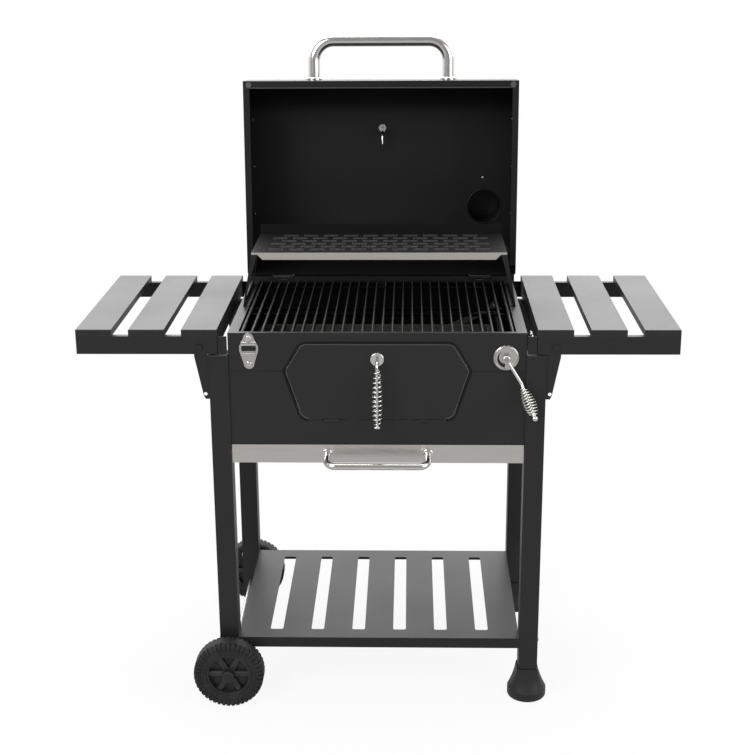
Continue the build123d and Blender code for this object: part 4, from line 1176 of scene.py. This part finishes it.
    def build(self) -> list[Piece]:
        """Makes the rivets, collar, rear rib, hem line, probe and the thermometer's dial."""
        edges = [self.rivets(), self.chimney_collar(), self.rear_rib(), self.hem_line()]
        return [*edges, self.probe(), *self.thermometer_card()]


@dataclass
class WarmingRack(Assembly):
    """Slotted rack with its bright front strip and brackets.

    Attributes:
        rows: rows of slots.
        columns: slots in the first row; every other row has one fewer.
        pitch: distance between slots along X and Y.
        first: X and Y of the first slot's middle from the middle of the plate's front edge.
        slot: length and width of a slot.
        lip: width and height of the lip along a slot's edge.
    """

    rows: int = 6
    columns: int = 11
    pitch: Pair = (0.042, 0.027)
    first: Pair = (-0.210, 0.0275)
    slot: Pair = (0.0302, 0.0070)
    lip: Pair = (0.0018, 0.0009)
    finishes = coats(
        POWDER="rack_left_bracket rack_right_bracket",
        RACK="warming_rack",
        SHEET="rack_trim",
    )

    def build(self) -> list[Piece]:
        """Makes a pressed lip along both long edges of every slot; its pale enamel paints highlights.
        """
        front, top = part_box("warming_rack")[0][1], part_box("rack_trim")[1][2]
        reach = self.slot[0] / 2 * X_AXIS
        offset = (self.slot[1] + self.lip[0]) / 2
        lips = []
        for row in range(self.rows):
            y = front + self.first[1] + self.pitch[1] * row
            for column in range(self.columns - row % 2):
                x = self.first[0] + self.pitch[0] * (column + 0.5 * (row % 2))
                for edge in (-offset, offset):
                    middle = np.array([x, y + edge, top])
                    lips.append(half_round(middle - reach, middle + reach, Z_AXIS, *self.lip))
        return [self.fit("rack_slot_lips", lips, Finish.RACK_LIP_HIGHLIGHT, "trolley", "black_enamel", ROUND)]


@dataclass
class SideTables(Assembly):
    """Folding side tables with their slats and brackets.

    Attributes:
        inner: X at which an apron's turned end stops, next to the box.
        overlap: how far the end runs on under the apron.
        corner: radius of its lower corner.
        sheet: its thickness.
    """

    inner: float = 0.2863
    overlap: float = 0.001
    corner: float = 0.004
    sheet: float = 0.0010
    finishes = coats(
        POWDER="left_table_frame right_table_frame"
        " left_table_brackets right_table_brackets",
        SLAT="left_table_slats right_table_slats",
    )

    def apron_ends(self, side: str, sign: int) -> Piece:
        """Rounded ends of one table's front and back aprons, reaching in to the box."""
        low, high = np.array(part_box(f"{side}_table_frame"))
        edge = low[0] if sign > 0 else -high[0]
        reach, tall = edge - self.inner + self.overlap, high[2] - low[2]
        angle = np.linspace(0.0, np.pi / 2, CORNER_POINTS)
        curve = self.corner * np.stack([1 - np.cos(angle), 1 - np.sin(angle)], axis=1)
        outline = np.concatenate([curve, [[reach, 0.0], [reach, tall], [0.0, tall]]])
        inset = self.sheet * np.array([1, 0] if sign > 0 else [0, -1])
        ends = [
            slab(outline, np.array([sign * self.inner, y, low[2]]), sign * X_AXIS, Z_AXIS, self.sheet)
            for y in inset + (low[1], high[1])
        ]
        body = f"{side}_table"
        return self.fit(f"{body}_apron_ends", ends, Finish.POWDER, body, "black_powder_coat")

    def build(self) -> list[Piece]:
        """Makes the apron ends of both tables."""
        return [self.apron_ends("left", -1), self.apron_ends("right", 1)]


@dataclass(frozen=True)
class Lamp:
    """Soft box.

    Attributes:
        name: name of the lamp.
        place: where it stands, in metres.
        aim: the point that it faces.
        size: side of the square.
        watts: its power.
    """

    name: str
    place: Triple
    aim: Triple
    size: float
    watts: float

    def build(self) -> None:
        """Adds the lamp to the scene."""
        data = bpy.data.lights.new(self.name, "AREA")
        data.size = self.size
        data.energy = self.watts
        made = link(self.name, data)
        made.location = self.place
        facing = Vector(self.aim) - Vector(self.place)
        made.rotation_euler = facing.to_track_quat("-Z", "Y").to_euler()


@dataclass
class Studio:
    """White studio: world, pale floor that keeps the shadow, and soft boxes.

    Attributes:
        glow: world strength for light that falls on the object.
        front: world strength that gloss sees towards the front.
        front_span: where it rises to one, as Y of the direction.
        rear: world strength that gloss sees above the horizon towards the back.
        rear_span: where it rises to that, as Y of the direction.
        horizon: where the sky starts, as Z of the direction.
        floor_gloss: strength of the floor's white in gloss.
        floor_half: half the floor's side.
        floor_grey: grey of its matt part.
        near: share of white in the floor under the object.
        near_span: distances from the middle between which it rises to one.
        lamps: the soft boxes.
    """

    glow: float = 0.45
    front: float = 0.35
    front_span: Pair = (-0.75, 0.35)
    rear: float = 3.2
    rear_span: Pair = (0.0, 0.7)
    horizon: Pair = (0.02, 0.20)
    floor_gloss: float = 0.60
    floor_half: float = 9.0
    floor_grey: float = 0.82
    near: float = 0.91
    near_span: Pair = (0.7, 2.2)
    lamps: tuple[Lamp, ...] = (
        Lamp("key_box", (-2.2, -3.0, 2.9), (0.0, 0.0, 0.7), 2.2, 110.0),
        Lamp("fill_box", (2.8, -2.2, 2.0), (0.0, 0.0, 0.6), 2.4, 60.0),
        Lamp("top_box", (0.0, 0.9, 3.6), (0.0, 0.1, 0.6), 2.6, 90.0),
    )

    @staticmethod
    def rays(tree: Tree) -> tuple[Expr, Expr]:
        """One for rays from the camera, and one for all that show the background."""
        return tree.rays("Camera"), tree.rays("Camera", "Glossy", "Transmission")

    def world(self) -> None:
        """White to the camera; for gloss it darkens towards the front, as in a studio."""
        world = bpy.data.worlds.new("studio")
        bpy.context.scene.world = world
        tree = Tree(world)
        camera, seen = self.rays(tree)
        apart = tree.node("ShaderNodeSeparateXYZ", {}, {0: tree.place("Generated")})
        depth, height = apart.beside(1), apart.beside(2)
        back = tree.smooth(depth, self.front_span, (self.front, 1.0))
        above = tree.smooth(height, self.horizon, (0.0, 1.0))
        behind = tree.smooth(depth, self.rear_span, (0.0, self.rear - 1.0))
        gloss = seen * (camera + (1.0 - camera) * (back + above * behind))
        strength = gloss + (1.0 - seen) * self.glow
        surface = tree.node("ShaderNodeBackground", {}, {"Color": WHITE, "Strength": strength})
        tree.end("ShaderNodeOutputWorld", surface)

    def floor(self) -> None:
        """Pale floor: near the object it keeps a light shadow, further out it is white."""
        corners = self.floor_half * np.array([[-1, -1, 0], [1, -1, 0], [1, 1, 0], [-1, 1, 0]])
        mesh = bpy.data.meshes.new("floor")
        mesh.from_pydata(corners.tolist(), [], [[0, 1, 2, 3]])
        material = bpy.data.materials.new("studio_floor")
        tree = Tree(material)
        camera, seen = self.rays(tree)
        inputs = {0: tree.place()}
        far = tree.node("ShaderNodeVectorMath", {"operation": "LENGTH"}, inputs, output="Value")
        fade = tree.smooth(far, self.near_span, (self.near, 1.0))
        strength = camera + (1.0 - camera) * self.floor_gloss
        matt = tree.node("ShaderNodeBsdfDiffuse", {}, {"Color": (*[self.floor_grey] * 3, 1.0)})
        white = tree.node("ShaderNodeEmission", {}, {"Color": WHITE, "Strength": strength})
        surface = tree.node("ShaderNodeMixShader", {}, {0: seen * fade, 1: matt, 2: white})
        tree.end("ShaderNodeOutputMaterial", surface)
        mesh.materials.append(material)
        link("floor", mesh)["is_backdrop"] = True

    def build(self) -> None:
        """Builds the world, the floor and the lamps."""
        self.world()
        self.floor()
        for lamp in self.lamps:
            lamp.build()


@dataclass(frozen=True)
class PhotoCamera:
    """Camera that stands where the photograph was taken.

    Attributes:
        place: camera position in metres.
        pitch: angle below level, in radians.
        yaw: angle to the right of straight back, in radians.
        roll: turn about the view, in radians.
        lens: focal length in millimetres.
        sensor: width of the sensor in millimetres.
    """

    place: Triple = (0.06319, -2.911996, 1.51239)
    pitch: float = 0.308491
    yaw: float = -0.0242981
    roll: float = -0.0057607
    lens: float = 67.264
    sensor: float = 36.0

    def build(self) -> None:
        """Sets the scene's camera from its right, up and backward directions."""
        cos_p, sin_p = math.cos(self.pitch), math.sin(self.pitch)
        ahead = Vector((math.sin(self.yaw) * cos_p, math.cos(self.yaw) * cos_p, -sin_p))
        level = Vector((math.cos(self.yaw), -math.sin(self.yaw), 0.0))
        upward = level.cross(ahead)
        right = level * math.cos(self.roll) + upward * math.sin(self.roll)
        up = upward * math.cos(self.roll) - level * math.sin(self.roll)
        data = bpy.data.cameras.new("photo_camera")
        data.lens = self.lens
        data.sensor_width = self.sensor
        made = link("photo_camera", data)
        turn = Matrix((right, up, -ahead)).transposed().to_4x4()
        made.matrix_world = Matrix.Translation(self.place) @ turn
        bpy.context.scene.camera = made


def main() -> None:
    """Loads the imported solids, dresses them, adds fittings and sets up studio and camera."""
    logging.basicConfig(level=logging.INFO, format="%(message)s")
    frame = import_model()
    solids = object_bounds()
    groups = (Trolley, Firebox, FireDoor, Crank, Lid, WarmingRack, SideTables)
    for group in (kind() for kind in groups):
        group.dress(frame["nodes"])
        for piece in group.build():
            LOG.info("%s: %s, %d faces", type(group).__name__, piece.name, len(piece.data.polygons))
    Studio().build()
    PhotoCamera().build()
    bpy.context.scene.view_settings.view_transform = "Standard"
    boxes = {"solids": solids, "visual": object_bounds()}
    {name: [list(map(float, corner)) for corner in box] for name, box in boxes.items()}


if __name__ == "__main__":
    main()
